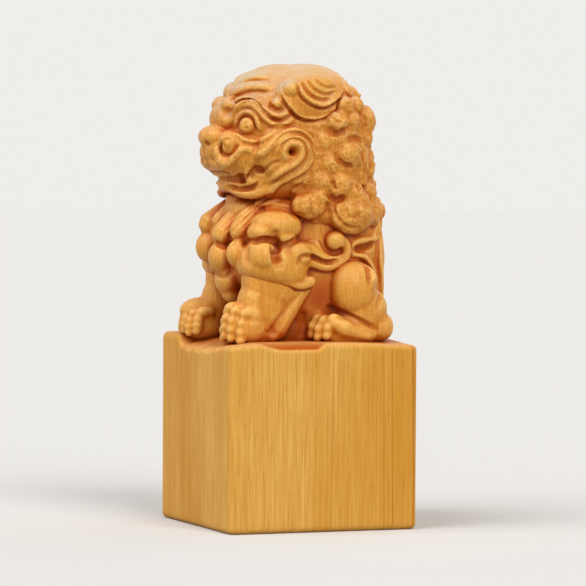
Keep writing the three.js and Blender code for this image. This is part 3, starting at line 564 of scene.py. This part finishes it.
# arm plates
chest += lumps((9.9, -7.4, 52.5), (5.3, 7.0, 4.1), (-12, 0, 0), 3.0)
chest += lumps((12.2, -10.6, 54.5), (3.7, 3.2, 3.4), square=2.1)
chest += lumps((11.8, -3.4, 54.8), (3.4, 3.2, 2.8), square=2.4)
chest += lumps((10.4, -7.2, 56.2), (3.8, 5.4, 3.0))
chest += strands(on_flank([(-11.4, 50.7), (-8.4, 50.0), (-5.2, 49.1), (-2.6, 48.6), (-1.0, 49.4)], 13.6),
                 [0.5, 0.7, 0.75, 0.9, 1.3])
# hair under the jaw, gathered in bands
chest += strands(on_flank([(-10.8, 64.6), (-8.2, 65.6), (-5.8, 65.2), (-3.8, 63.8)], 8.8),
                 [0.6, 0.9, 0.8, 0.6])
chest += strands(on_flank([(-12.2, 65.0), (-10.8, 66.2), (-9.4, 66.9)], 7.4), [0.7, 0.9, 0.8])
chest += lumps((5.8, -9.8, 61.8), (2.8, 3.0, 2.6))
chest += lumps((8.2, -3.2, 62.8), (3.6, 6.0, 3.2))
# flank flames
chest += lumps((10.0, 2.2, 55.0), (2.9, 6.0, 4.2))
upper_flame = [(-5.3, 55.0), (-2.9, 56.0), (-0.7, 55.6), (0.9, 54.5), (2.5, 53.9), (4.2, 54.0), (5.2, 54.6)]
lower_flame = [(-3.2, 52.7), (-1.5, 53.2), (0.1, 52.8), (2.0, 52.3), (3.9, 52.4), (5.5, 53.1), (6.6, 54.4),
               (6.9, 56.3), (6.3, 57.9)]
chest += strands(on_flank(upper_flame, 12.4), [1.6, 1.6, 1.3, 1.1, 1.0, 0.9, 0.7])
chest += strands(on_flank(lower_flame, 12.3), [1.3, 1.1, 1.0, 1.0, 1.0, 1.1, 1.1, 1.0, 0.7])
chest += lumps((12.0, 5.0, 57.4), (2.4, 2.3, 2.2))
lion_chest = fuse("lion_chest_carving", chest, voxel=0.25, rounds=5)
# lines of the shoulder curls, arm plates and flames
carve(lion_chest, [
    ([(-14.2, 57.5), (-12.5, 57.5), (-10.6, 57.9), (-8.7, 57.4), (-7.6, 56.5), (-5.2, 57.1),
      (-3.0, 58.5)], -0.8, 0.8),
    ([(-13.4, 62.2), (-11.4, 63.8), (-8.6, 64.4), (-5.8, 63.8), (-4.0, 62.2)], -0.45, 0.6),
    ([(-8.3, 57.2), (-8.3, 55.8), (-8.1, 54.4), (-7.7, 53.0)], -1.6, 1.5),
    ([(-8.4, 58.9)], -0.6, 1.3),
    ([(-14.5, 57.4), (-14.6, 55.2), (-14.4, 53.0)], -0.5, 1.0),
    ([(-3.5, 52.8), (-2.9, 54.2), (-1.5, 54.6), (0.1, 54.1), (1.5, 53.5), (3.1, 53.2),
      (4.7, 53.6)], -0.9, 0.6),
    ([(1.4, 58.4), (1.7, 57.4), (2.3, 56.1), (3.6, 55.2), (5.0, 55.2), (5.8, 55.9)], -0.9, 0.7),
])
# lines of the bib, cut from the lion's left across to a little past the middle
carve(lion_chest, [
    ([(-21.2, 57.6), (-20.4, 56.9), (-19.2, 56.6), (-17.9, 57.0), (-17.0, 57.7)], -0.5, 0.7),
    ([(-21.6, 51.8), (-20.8, 51.0), (-19.8, 50.6), (-18.6, 50.9), (-17.4, 51.8)], -0.5, 0.7),
    ([(-13.4, 65.6), (-17.2, 62.6), (-19.8, 60.4)], -0.2, 0.4),
    ([(-12.8, 65.0), (-16.5, 62.0), (-19.1, 59.6)], -0.2, 0.35),
    ([(-12.2, 64.4), (-15.8, 61.4), (-18.4, 58.8)], -0.2, 0.4),
    ([(-10.6, 65.8), (-14.2, 62.6), (-16.0, 60.6)], -0.2, 0.4),
    ([(-10.0, 65.2), (-13.4, 62.2), (-15.4, 60.0)], -0.2, 0.35),
    ([(-9.4, 64.6), (-12.6, 61.8), (-14.8, 59.4)], -0.2, 0.4),
], nearest=-2.0, sides="left")
to_metres(lion_chest)


# Head
# The lion's head, with its muzzle, open mouth, brows and leaf-like ears, is the finest carving on the seal.
# Its lines are cut with a V-tool and small gouges, and the mouth corners and cheeks are drilled.

head = []
# skull, crown and jaws
head += lump((0, -0.1, 80.5), (13.2, 14.3, 11.8), (-8, 0, 0), 2.35)
head += lump((0, 2.8, 84.2), (11.4, 9.8, 8.7), square=2.3)
head += lump((0, -2.0, 84.6), (10.6, 9.0, 8.2), square=2.3)
head += lump((0, -7.7, 74.6), (11.0, 9.8, 6.8), square=2.2)
head += lump((0, -6.6, 69.0), (10.6, 8.1, 2.7), square=2.3)
head += lump((0, -3.0, 72.8), (13.0, 10.0, 9.4), square=2.5)
# nose, muzzle and forehead
head += lump((0, -16.4, 78.0), (4.2, 2.9, 2.4))
head += lump((0, -14.2, 75.6), (5.4, 4.3, 3.4), square=2.3)
head += lump((0, -13.9, 81.6), (4.8, 2.9, 3.5))
head += lump((0, -15.4, 76.3), (3.8, 3.0, 2.8))
head += lump((0, -9.9, 86.3), (7.0, 3.1, 3.0))
head += lumps((4.9, -14.6, 76.9), (2.9, 2.5, 2.5))
head += lumps((2.8, -13.9, 73.2), (4.2, 3.2, 1.7))
# lips and chin
upper_lip = [(0, -16.9, 73.5), (2.6, -16.6, 72.7), (4.6, -15.6, 72.3), (6.6, -13.9, 72.5),
             (8.2, -12.0, 73.2), (9.6, -9.8, 74.2)]
lower_lip = [(0, -13.7, 68.3), (3.0, -13.3, 67.7), (6.0, -12.1, 66.9), (8.6, -9.9, 66.9),
             (10.3, -7.8, 68.4), (11.6, -5.6, 70.4)]
head += strands(upper_lip, [0.9, 0.95, 0.95, 0.9, 0.9, 0.9])
head += strands(lower_lip, [0.8, 1.0, 1.15, 1.15, 1.0, 0.8])
head += lump((0, -12.7, 68.2), (4.2, 2.2, 1.4))
# inner ends of the brows, eyes, cheeks and ears
head += lumps((2.6, -13.8, 84.3), (2.2, 1.9, 1.9))
head += lumps((8.0, -12.0, 80.3), (1.8, 1.8, 1.8))
head += lumps((11.2, -4.6, 75.0), (3.0, 6.4, 6.0))
head += lumps((10.7, -0.5, 86.0), (3.4, 7.0, 4.8), (6, 0, 0), 2.3)
lion_head = fuse("lion_head_carving", head, voxel=0.22, rounds=8)


def spiral(y, z, size, turns, start):
    """A line winding in to the middle of a curl."""
    line = []
    steps = turns * 10
    for k in range(int(steps) + 1):
        t = k / steps
        a = math.radians(start) + t * turns * 2 * math.pi
        r = size * (1 - 0.85 * t)
        line.append((y + r * math.cos(a), z + r * math.sin(a)))
    return line


mouth = [
    ([(-15.9, 69.7)], -1.7, 1.6),
    ([(-13.0, 72.0), (-12.0, 71.7), (-11.0, 71.6)], -1.0, 1.0),
    ([(-10.9, 71.6), (-9.2, 72.8), (-7.5, 73.3)], -0.5, 0.6),
    ([(-20.4, 70.4), (-18.6, 70.1), (-16.6, 69.8)], -0.7, 0.7),
    ([(-15.4, 70.0), (-14.4, 70.6), (-13.2, 71.6)], -0.6, 0.7),
    ([(-18.4, 68.5), (-17.2, 68.2), (-15.6, 68.0), (-13.4, 68.2), (-12.2, 69.2)], -0.8, 0.7),
    ([(-14.3, 71.6), (-14.2, 70.0)], 0.7, 0.8),
]
brow = [
    ([(-17.4, 81.7), (-16.9, 83.3), (-15.4, 84.5), (-13.6, 84.7), (-11.9, 83.4), (-10.3, 81.7),
      (-8.8, 80.7), (-7.4, 80.5), (-6.0, 81.0), (-4.9, 82.0)], 1.0, 0.75),
    ([(-17.2, 84.4), (-16.3, 85.4), (-14.4, 85.9), (-12.6, 85.3), (-11.0, 83.9), (-9.5, 82.8), (-7.9, 82.3),
      (-6.6, 82.7), (-5.8, 83.4)], 1.1, 0.75),
    ([(-15.8, 85.0), (-14.0, 85.3), (-12.3, 84.4), (-10.8, 82.8), (-9.2, 81.8), (-7.4, 81.4)], -0.45, 0.45),
    ([(-9.4, 84.5)], -0.5, 0.9),
    ([(-8.2, 84.8)], 1.2, 1.2),
    ([(-18.2, 85.9), (-16.6, 86.6), (-13.4, 87.4), (-10.2, 87.2)], -0.45, 0.8),
    ([(-18.2, 86.9), (-16.6, 87.8), (-13.6, 88.5), (-9.6, 88.2)], 0.6, 1.0),
    ([(-18.4, 88.0), (-16.8, 88.9), (-13.8, 89.7), (-9.6, 89.6)], -0.45, 0.75),
    ([(-17.4, 89.2), (-14.4, 90.4), (-11.0, 90.6)], 0.35, 0.9),
    ([(-18.9, 83.2)], -0.6, 1.5),
]
cheek = [
    ([(-20.2, 77.4), (-20.3, 75.9), (-19.6, 74.9), (-18.3, 74.7), (-17.2, 75.5), (-16.6, 76.6)], -0.9, 0.6),
    ([(-18.2, 77.8), (-19.2, 77.9), (-19.6, 77.0), (-19.0, 76.0)], -0.4, 0.4),
    ([(-20.9, 76.6), (-20.7, 74.7), (-19.8, 73.3), (-18.4, 73.0), (-17.1, 74.3), (-15.9, 75.5),
      (-14.6, 75.9), (-13.2, 75.5)], 0.65, 0.9),
    ([(-12.6, 74.6), (-11.0, 75.0), (-9.6, 76.2), (-7.9, 77.8), (-5.8, 79.0), (-3.7, 79.3), (-1.8, 78.5),
      (-0.4, 76.7), (0.2, 74.7), (0.1, 72.6), (-0.7, 71.1), (-2.6, 70.0), (-4.8, 69.2)], 0.9, 0.9),
    ([(-9.6, 69.5), (-8.2, 70.7), (-6.4, 71.8), (-4.8, 72.6), (-3.6, 73.5), (-2.9, 74.9), (-3.4, 76.3),
      (-4.8, 76.8), (-6.2, 76.3), (-6.8, 75.0), (-6.2, 73.8)], 0.9, 0.75),
    ([(-9.8, 66.6), (-8.8, 68.0), (-7.6, 69.2), (-5.9, 70.0), (-4.2, 70.9), (-2.3, 72.1), (-1.2, 73.9),
      (-1.4, 75.7), (-2.5, 77.2), (-4.2, 78.0), (-6.1, 77.7), (-7.5, 76.7), (-8.3, 75.2)], 0.9, 0.75),
    ([(-8.5, 77.1), (-6.3, 78.8), (-3.3, 78.8), (-1.1, 77.1), (-0.5, 74.6), (-1.5, 72.3)], -0.45, 0.5),
    ([(-4.8, 75.1)], -2.4, 0.95),
]
eyes = [
    ([(-16.4, 80.2), (-16.1, 81.5), (-15.2, 82.3), (-14.1, 82.4), (-13.1, 81.7), (-12.6, 80.6),
      (-12.5, 79.6)], -0.35, 0.4),
    (spiral(-14.6, 80.3, 0.9, turns=0.8, start=60), -0.25, 0.35),
    ([(-16.8, 80.6), (-16.5, 82.0), (-15.4, 83.1), (-13.9, 83.2), (-12.6, 82.3), (-12.0, 80.9),
      (-11.8, 79.8)], 0.8, 0.6),
    ([(-16.9, 79.2), (-15.6, 78.0), (-14.0, 77.4), (-12.4, 77.3), (-10.4, 78.0), (-8.6, 79.0)], 0.5, 0.55),
    ([(-15.6, 77.0), (-13.2, 76.6), (-11.2, 76.9)], -0.25, 0.5),
]
ears = [
    ([(-6.8, 85.8), (-6.0, 84.6), (-4.8, 83.3), (-3.1, 82.1), (-1.5, 81.6), (0.0, 81.5), (1.4, 81.8),
      (2.9, 82.6), (4.4, 84.2)], 0.9, 2.2, 0.7),
    ([(-3.7, 87.8), (-3.0, 86.3), (-1.4, 85.0), (0.8, 84.2), (2.6, 84.3), (4.3, 85.4),
      (5.8, 87.0)], 0.9, 1.7, 0.7),
    ([(-2.7, 88.7), (-1.7, 87.1), (-0.3, 86.0), (1.5, 85.5), (3.1, 85.8)], -0.7, 0.5),
    ([(-1.4, 89.2), (-0.4, 87.8), (1.0, 86.9), (2.6, 86.6), (4.2, 87.2)], -0.6, 0.5),
    ([(0.2, 89.6), (1.2, 88.6), (2.6, 88.0), (4.2, 88.2)], -0.45, 0.5),
    ([(-5.3, 87.8)], 1.0, 1.6),
    ([(-3.7, 88.3), (-3.8, 87.4)], -0.5, 0.5),
]
carve(lion_head, mouth + brow + cheek + eyes + ears, nearest=0.6, facing=0.15)
# lines drawn from the front: the mouth, the lip's cleft, the nostrils and the parting of the forehead
carve(lion_head, [
    ([(0.0, 70.8), (3.0, 70.8), (5.0, 70.6)], -0.8, 0.6),
    ([(0.0, 76.0), (0.0, 72.0)], -0.5, 0.5),
    ([(1.9, 76.7)], -0.8, 0.8),
    ([(0.0, 92.0), (0.0, 86.0)], -0.4, 0.8),
], way="front")
to_metres(lion_head)


# Mane
# A collar of snail curls and short locks from behind the ears down to the shoulders.
# Each curl is left as a knob, then lines, and on the back a spiral, are cut into it with a small veiner.

mane = []
# the mass under the curls
mane += lump((0, 3.4, 74.5), (14.2, 11.6, 13.2), square=2.8)
mane += lump((0, 5.5, 64.5), (13.4, 11.6, 6.8), square=2.6)
# clumps on the flank, each with its place, its depth and its half sizes
thickest = 3.2
clumps = (
    (4.6, 81.2, 12.9, 2.6, 2.3), (7.6, 81.4, 11.8, 2.0, 2.1), (10.6, 81.6, 9.4, 2.4, 3.2),
    (6.8, 74.8, 12.3, 3.2, 2.9), (5.0, 68.6, 12.4, 2.9, 3.1), (7.6, 62.9, 12.2, 5.0, 4.2),
    (-1.3, 64.6, 12.4, 3.7, 2.8), (0.9, 66.0, 12.7, 2.4, 2.2), (9.2, 65.6, 12.4, 2.3, 2.0),
)
for y, z, x, wide, tall in clumps:
    mane += lumps(on_flank([(y, z)], x)[0], (min(wide, tall, thickest), wide, tall))
# small clumps between them, set deeper towards the back
front_depth, back_depth = 12.6, 10.4
small_clumps = (
    (2.2, 77.6, 2.0), (2.8, 72.8, 2.1), (8.6, 78.0, 1.7), (1.4, 69.6, 2.1), (8.2, 70.6, 1.7),
    (4.4, 77.8, 1.6), (7.6, 66.8, 2.0), (11.2, 67.2, 1.6), (10.4, 78.2, 1.5), (6.2, 84.4, 1.4),
    (8.4, 84.6, 1.4),
)
for y, z, size in small_clumps:
    depth = front_depth if y < 8 else back_depth
    mane += lumps(on_flank([(y, z)], depth)[0], (size, 1.4 * size, 1.4 * size))
# long locks behind the clumps
mane += strands(on_flank([(9.2, 76.6), (9.6, 74.5), (9.8, 72.0), (10.0, 69.6)], 11.4),
                [1.4, 1.8, 1.8, 1.3])
mane += strands(on_flank([(11.2, 76.0), (11.5, 73.5), (11.3, 71.2), (10.6, 69.0)], 9.6),
                [1.3, 1.6, 1.6, 1.2])
# curls down the back
back_curls = [((3.5, 11.0, 85.5), 3.1), ((0, 12.6, 80.4), 3.5), ((6.4, 11.6, 80.8), 3.2),
              ((3.3, 13.0, 74.6), 3.4), ((9.0, 10.8, 74.8), 3.0), ((0, 14.2, 68.6), 3.4),
              ((6.4, 12.6, 68.4), 3.4), ((3.5, 15.9, 63.4), 3.4), ((9.4, 13.0, 63.2), 3.2),
              ((0, 9.3, 87.9), 2.7), ((6.6, 8.2, 86.9), 2.9)]
for place, size in back_curls:
    mane += lumps(place, (size, size, size))
lion_mane = fuse("lion_mane_carving", mane, voxel=0.25, rounds=8)


def ruffle(piece, size, depth):
    """Uneven tool work: soft hollows and rises of about one size, all over a piece."""
    p = points_of(piece)
    swell = np.array([noise.noise(Vector(q / size)) + 0.5 * noise.noise(Vector(q / size * 2.3))
                      for q in p])
    set_points(piece, p + normals_of(piece) * (depth * swell)[:, None])


ruffle(lion_mane, size=1.9, depth=0.3)
# lines between and on the clumps and locks
carve(lion_mane, [
    ([(2.2, 79.8), (3.6, 78.9), (5.2, 78.8), (6.4, 79.6)], -0.7, 0.9),
    ([(7.2, 77.8), (8.6, 78.0), (10.2, 77.6)], -0.8, 0.9),
    ([(4.4, 75.0), (5.0, 73.6), (6.2, 72.6), (7.8, 72.2)], -0.7, 0.8),
    ([(3.8, 69.6), (3.9, 68.5), (4.4, 67.7)], -0.9, 0.7),
    ([(2.6, 66.8), (4.4, 65.6), (6.2, 66.2)], -0.7, 0.8),
    ([(2.6, 65.4), (2.9, 64.2), (2.6, 63.0)], -0.5, 0.7),
    ([(3.9, 65.2), (4.3, 63.0), (5.6, 61.3), (7.6, 60.1), (9.6, 60.2)], -0.4, 0.5),
    ([(6.6, 63.6), (7.4, 62.4), (8.8, 62.2), (9.6, 63.2)], -0.35, 0.6),
    ([(-1.0, 66.0), (-0.4, 64.6), (-1.2, 63.2)], -0.3, 0.6),
    ([(10.2, 82.8), (10.8, 81.2), (10.4, 79.8)], -0.35, 0.6),
    ([(3.4, 82.4), (4.2, 81.2), (5.4, 80.9)], -0.35, 0.6),
    ([(9.2, 68.8), (9.8, 67.6)], -0.6, 0.8),
    ([(9.4, 75.8), (10.5, 73.4), (10.7, 71.0), (10.3, 69.4)], -0.6, 0.5),
    ([(11.9, 75.0), (11.0, 72.6), (11.0, 70.8)], -0.4, 0.4),
])
# one spiral in each curl of the back, each turned a little further than the last
curl_lines = [spiral(place[0], place[2], 0.75 * size, turns=1.5, start=40 * i)
              for i, (place, size) in enumerate(back_curls)]
carve(lion_mane, [(line, -0.5, 0.6) for line in curl_lines], way="back", facing=0.3)
to_metres(lion_mane)


# Wood finish of the carving, with painted light and shade
# The carved wood is rubbed with oil. Its recesses are reddened partly by the oil and partly by painted
# shade, while raised edges and bumps get a painted highlight and faces turned up a painted sky sheen.
# The recess mask is the share of the sky that is hidden from each spot of the finished carving.

carvings = [lion_body, lion_chest, lion_head, lion_mane]


def open_sky(pieces, reach, rays):
    """For each piece the share of outward directions, from 0 to 1, that leave each of its points freely."""
    places, faces, shift = [], [], 0
    for piece in pieces:
        co = points_of(piece)
        places.append(co)
        faces += [[i + shift for i in f.vertices] for f in piece.data.polygons]
        shift += len(co)
    tree = BVHTree.FromPolygons([tuple(q) for q in np.concatenate(places)], faces)
    golden = math.pi * (3 - math.sqrt(5))
    golden_share = 0.618034
    lift = 0.00012
    found = []
    for piece, co in zip(pieces, places):
        n = normals_of(piece)
        free = np.zeros(len(co))
        for i, (spot, up) in enumerate(zip(co, n)):
            up = Vector(up)
            side = up.orthogonal().normalized()
            over = up.cross(side)
            start = Vector(spot) + up * lift
            turn = (i * golden_share) % 1.0 * 2 * math.pi
            clear = 0
            for k in range(rays):
                r = math.sqrt((k + 0.5) / rays)
                a = turn + k * golden
                way = side * (r * math.cos(a)) + over * (r * math.sin(a)) + up * math.sqrt(1 - r * r)
                if tree.ray_cast(start, way, reach)[0] is None:
                    clear += 1
            free[i] = clear / rays
        found.append(free)
    return found


def spread_over(piece, values, rounds):
    """Values at the points, evened out along the edges."""
    edges = np.empty(len(piece.data.edges) * 2, np.int32)
    piece.data.edges.foreach_get("vertices", edges)
    a, b = edges.reshape(-1, 2).T
    count = np.bincount(a, minlength=len(values)) + np.bincount(b, minlength=len(values))
    for _ in range(rounds):
        total = np.bincount(a, values[b], len(values)) + np.bincount(b, values[a], len(values))
        values = 0.5 * values + 0.5 * total / np.maximum(count, 1)
    return values


def keep_value(piece, name, values):
    """A value at each point of a piece, for its material to read."""
    piece.data.attributes.new(name, "FLOAT", "POINT").data.foreach_set("value", values.astype(np.float32))


sky = open_sky(carvings + [block], reach=0.013, rays=14)
# The block's faces turned up are marked as end grain, which its material also paints with a sky sheen.
# Close under the carving the top gets painted shade, partly pooled oil, and the scoops beside the shins are
# painted redder.
end_grain_and_sheen = ramp(normals_of(block)[:, 2], 0.35, 0.9)
keep_value(block, "end_grain_and_sheen", end_grain_and_sheen)
hidden = 1 - spread_over(block, sky[-1], rounds=2)
pocket_reddening = 0.8 * side_pocket * end_grain_and_sheen ** 2
keep_value(block, "recess", np.maximum(hidden, pocket_reddening))
stipple_shares = (0.45, 0.5, 0.75, 1.0)
ground_middle = (0.0105, 0.0022, 0.0470)
ground_half = (0.0045, 0.0068, 0.0085)
for piece, free, stippled in zip(carvings, sky, stipple_shares):
    p = points_of(piece)
    n = normals_of(piece)
    # The ground between foreleg and haunch gets an extra painted shade, strongest in its middle.
    either_side = np.abs(p) * (1, 0, 0) + p * (0, 1, 1)
    ground = (either_side - ground_middle) / ground_half
    ground_shade = 0.62 * bell(np.linalg.norm(ground, axis=1), 1.0)
    # On the paws the painted shade is cut to 0.4 of its strength, so they stay lighter.
    fore_paws = ramp(-p[:, 1], 0.009, 0.013) * (1 - ramp(p[:, 2], 0.045, 0.048))
    hind_paws = ramp(p[:, 1], -0.002, 0.001) * (1 - ramp(p[:, 2], 0.0415, 0.0435))
    paw_shade_share = 1 - 0.6 * np.maximum(fore_paws, hind_paws)
    # The recess mask, the share of sky hidden at each spot, drives the painted shade.
    hidden = 1 - spread_over(piece, free, rounds=4)
    keep_value(piece, "recess", np.maximum(hidden * paw_shade_share, ground_shade))
    keep_value(piece, "stippled", stippled * (1 - 0.8 * ramp(p[:, 2], 0.086, 0.091)))
    # A painted sky sheen: faces turned up and ahead are painted paler, most of all on the crown and the
    # brow.
    facing_sky = ramp(0.85 * n[:, 2] - 0.4 * n[:, 1], 0.2, 0.9)
    high_up = 0.12 + 0.88 * ramp(p[:, 2], 0.076, 0.09)
    keep_value(piece, "painted_sky_sheen", facing_sky * high_up)
    # How far each spot stands out of its near and of its wider surroundings; the material paints a
    # highlight on what stands out and shade in what sinks in.
    for name, rounds, height in (("edge", 12, 0.00012), ("swell", 70, 0.00045)):
        soft = np.stack([spread_over(piece, p[:, k].copy(), rounds) for k in range(3)], 1)
        keep_value(piece, name, np.clip(((p - soft) * n).sum(1) / height, -1, 1))


def carved_wood():
    made = bpy.data.materials.new("carved_oiled_wood")
    made.use_nodes = True
    tree = made.node_tree
    shader = tree.nodes["Principled BSDF"]
    grain = tree.nodes.new("ShaderNodeGroup")
    grain.node_tree = grain_group
    grain.inputs["Ring Spacing"].default_value = 0.0009
    grain.inputs["Waver"].default_value = 0.0035
    read = {name: kept_value(tree, name) for name in ("recess", "edge", "swell", "stippled", "painted_sky_sheen")}
    amber = (0.62, 0.235, 0.019)
    gold = (0.79, 0.395, 0.055)
    fibre_brown = (0.52, 0.175, 0.012)
    ring_brown = (0.42, 0.120, 0.008)
    hollow_shade_brown = (0.50, 0.125, 0.007)
    bump_highlight_gold = (0.80, 0.430, 0.085)
    edge_highlight_cream = (0.86, 0.51, 0.14)
    sky_sheen_grey = (0.54, 0.410, 0.255)
    oil_and_shade_red = (0.46, 0.080, 0.003)
    deep_shade_red = (0.28, 0.042, 0.002)
    dot_brown = (0.46, 0.13, 0.010)
    body = mixed(tree, scaled(tree, grain.outputs["Clouds"], 1.6, -0.3), amber, gold)
    fibre = mixed(tree, scaled(tree, grain.outputs["Fibres"], 2.2, -0.75), body, fibre_brown)
    ring = mixed(tree, scaled(tree, grain.outputs["Rings"], 0.7), fibre, ring_brown)
    # Painted light from the shape: shade in wide hollows, a highlight on wide bumps and a paler highlight
    # on narrow edges.
    hollow = mixed(tree, scaled(tree, read["swell"], -0.7), ring, hollow_shade_brown)
    bump_lit = mixed(tree, scaled(tree, read["swell"], 0.55), hollow, bump_highlight_gold)
    pale = mixed(tree, scaled(tree, read["edge"], 0.5, -0.03), bump_lit, edge_highlight_cream)
    # Painted sky sheen: faces turned up are mixed towards a pale grey, in patches.
    patchy = tree.nodes.new("ShaderNodeMath")
    patchy.operation = "MULTIPLY"
    tree.links.new(read["painted_sky_sheen"], patchy.inputs[0])
    tree.links.new(scaled(tree, grain.outputs["Clouds"], 2.0, -0.15), patchy.inputs[1])
    sheened = mixed(tree, patchy.outputs["Value"], pale, sky_sheen_grey)
    # Painted shade, partly pooled oil: the recess mask reddens the wood and then darkens it.
    warm = mixed(tree, scaled(tree, read["recess"], 3.3, -0.65), sheened, oil_and_shade_red)
    deep = mixed(tree, scaled(tree, read["recess"], 2.3, -1.05), warm, deep_shade_red)
    # Fine stipple left by the punch and the abrasive, strongest in the mane.
    stipple = tree.nodes.new("ShaderNodeTexNoise")
    stipple.inputs["Scale"].default_value = 2300.0
    stipple.inputs["Detail"].default_value = 2.0
    place = tree.nodes.new("ShaderNodeTexCoord")
    tree.links.new(place.outputs["Object"], stipple.inputs["Vector"])
    dots = tree.nodes.new("ShaderNodeMath")
    dots.operation = "MULTIPLY"
    tree.links.new(scaled(tree, stipple.outputs["Fac"], 3.4, -1.35), dots.inputs[0])
    tree.links.new(read["stippled"], dots.inputs[1])
    dotted = mixed(tree, scaled(tree, dots.outputs["Value"], 0.8), deep, dot_brown)
    tree.links.new(dotted, shader.inputs["Base Color"])
    rough = scaled(tree, grain.outputs["Fibres"], 0.3, 0.32)
    tree.links.new(rough, shader.inputs["Roughness"])
    shader.inputs["Specular IOR Level"].default_value = 0.28
    bump = tree.nodes.new("ShaderNodeBump")
    bump.inputs["Strength"].default_value = 0.5
    bump.inputs["Distance"].default_value = 0.0002
    rise = tree.nodes.new("ShaderNodeMath")
    rise.operation = "MULTIPLY"
    tree.links.new(stipple.outputs["Fac"], rise.inputs[0])
    tree.links.new(read["stippled"], rise.inputs[1])
    tree.links.new(rise.outputs["Value"], bump.inputs["Height"])
    tree.links.new(bump.outputs["Normal"], shader.inputs["Normal"])
    return made


def both(*names):
    """Node names of pairs: all the left ones, then all the right ones."""
    return [side + name for side in ("left_", "right_") for name in names]


oiled = carved_wood()
stood_for = (
    ["torso", "tail"] + both("haunch", "hind_paw", "foreleg", "forepaw"),
    ["bib"] + both("shoulder_curl", "flank_flame"),
    ["head", "lower_jaw", "nose"] + both("eye", "brow", "cheek_spiral", "ear"),
    ["mane_back"] + both("mane"),
)
for piece, nodes in zip(carvings, stood_for):
    piece.data.materials.append(oiled)
    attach(piece, "root")
    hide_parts(*nodes)


# Floor, light and camera
# A plain pale floor under soft studio light, seen from the photograph's angle.

bpy.ops.mesh.primitive_plane_add(size=6, location=(0, 0, 0))
floor = bpy.context.object
floor.name = "pale_floor"
sheet = bpy.data.materials.new("pale_floor_paint")
sheet.use_nodes = True
paint = sheet.node_tree.nodes["Principled BSDF"]
paint.inputs["Roughness"].default_value = 0.7
paint.inputs["Specular IOR Level"].default_value = 0.0


def seen_directly(tree):
    """1 where the eye, a polished surface or glass sees a surface, and 0 where only its light arrives."""
    rays = tree.nodes.new("ShaderNodeLightPath")
    seen = rays.outputs["Is Camera Ray"]
    for kind in ("Is Glossy Ray", "Is Transmission Ray"):
        either = tree.nodes.new("ShaderNodeMath")
        either.operation = "MAXIMUM"
        tree.links.new(seen, either.inputs[0])
        tree.links.new(rays.outputs[kind], either.inputs[1])
        seen = either.outputs["Value"]
    return seen


# The floor is seen pale, and throws a little less light back onto the wood.
tree = sheet.node_tree
lit_colour = (0.42, 0.40, 0.37)
seen_colour = (0.632, 0.625, 0.611)
floor_colour = mixed(tree, seen_directly(tree), lit_colour, seen_colour)
tree.links.new(floor_colour, paint.inputs["Base Color"])
floor.data.materials.append(sheet)

world = bpy.data.worlds.new("soft_room")
bpy.context.scene.world = world
world.use_nodes = True
room = world.node_tree
room_light = room.nodes["Background"]
room_light.inputs["Color"].default_value = (1.0, 0.97, 0.92, 1)
room_light.inputs["Strength"].default_value = 0.45
# The eye, and a polished surface, see the room's wall as pale as the floor.
wall = room.nodes.new("ShaderNodeBackground")
wall.inputs["Color"].default_value = (0.86, 0.85, 0.83, 1)
wall.inputs["Strength"].default_value = 1.0
shown = room.nodes.new("ShaderNodeMixShader")
room.links.new(seen_directly(room), shown.inputs["Fac"])
room.links.new(room_light.outputs["Background"], shown.inputs[1])
room.links.new(wall.outputs["Background"], shown.inputs[2])
room.links.new(shown.outputs["Shader"], room.nodes["World Output"].inputs["Surface"])


def soft_sun(name, toward, spread, strength):
    """Broad daylight from one side of the sky."""
    bpy.ops.object.light_add(type="SUN", location=Vector(toward))
    lamp = bpy.context.object
    lamp.name = name
    lamp.data.angle = math.radians(spread)
    lamp.data.energy = strength
    lamp.rotation_euler = (-Vector(toward)).to_track_quat("-Z", "Y").to_euler()


soft_sun("sky_light", (0.10, -0.62, 0.78), spread=45, strength=1.9)
soft_sun("window_light", (0.77, 0.10, 0.63), spread=30, strength=1.85)
soft_sun("back_light", (-0.45, 0.80, 0.40), spread=60, strength=0.45)

# The camera was fitted to the block's corners. Its focal length and the picture's width are in pixels.
view_side = math.radians(68.38)
view_rise = math.radians(2.27)
view_roll = math.radians(0.35)
view_far = 0.8
aim_height = 0.04661
aim_shift = 0.00091
focal_pixels = 3959.6
picture_pixels = 586
sensor_width = 36
back = Vector((math.sin(view_side) * math.cos(view_rise), -math.cos(view_side) * math.cos(view_rise),
               math.sin(view_rise)))
right = Vector((math.cos(view_side), math.sin(view_side), 0))
aim = Vector((0, 0, aim_height)) + right * aim_shift
bpy.ops.object.camera_add(location=aim + back * view_far)
camera = bpy.context.object
camera.data.lens = sensor_width * focal_pixels / picture_pixels
camera.data.sensor_width = sensor_width
camera.data.clip_start = 0.01
camera.rotation_euler = ((-back).to_track_quat("-Z", "Y").to_matrix().to_4x4()
                         @ Matrix.Rotation(view_roll, 4, "Z")).to_euler()
bpy.context.scene.camera = camera
bpy.context.scene.view_settings.view_transform = "Standard"
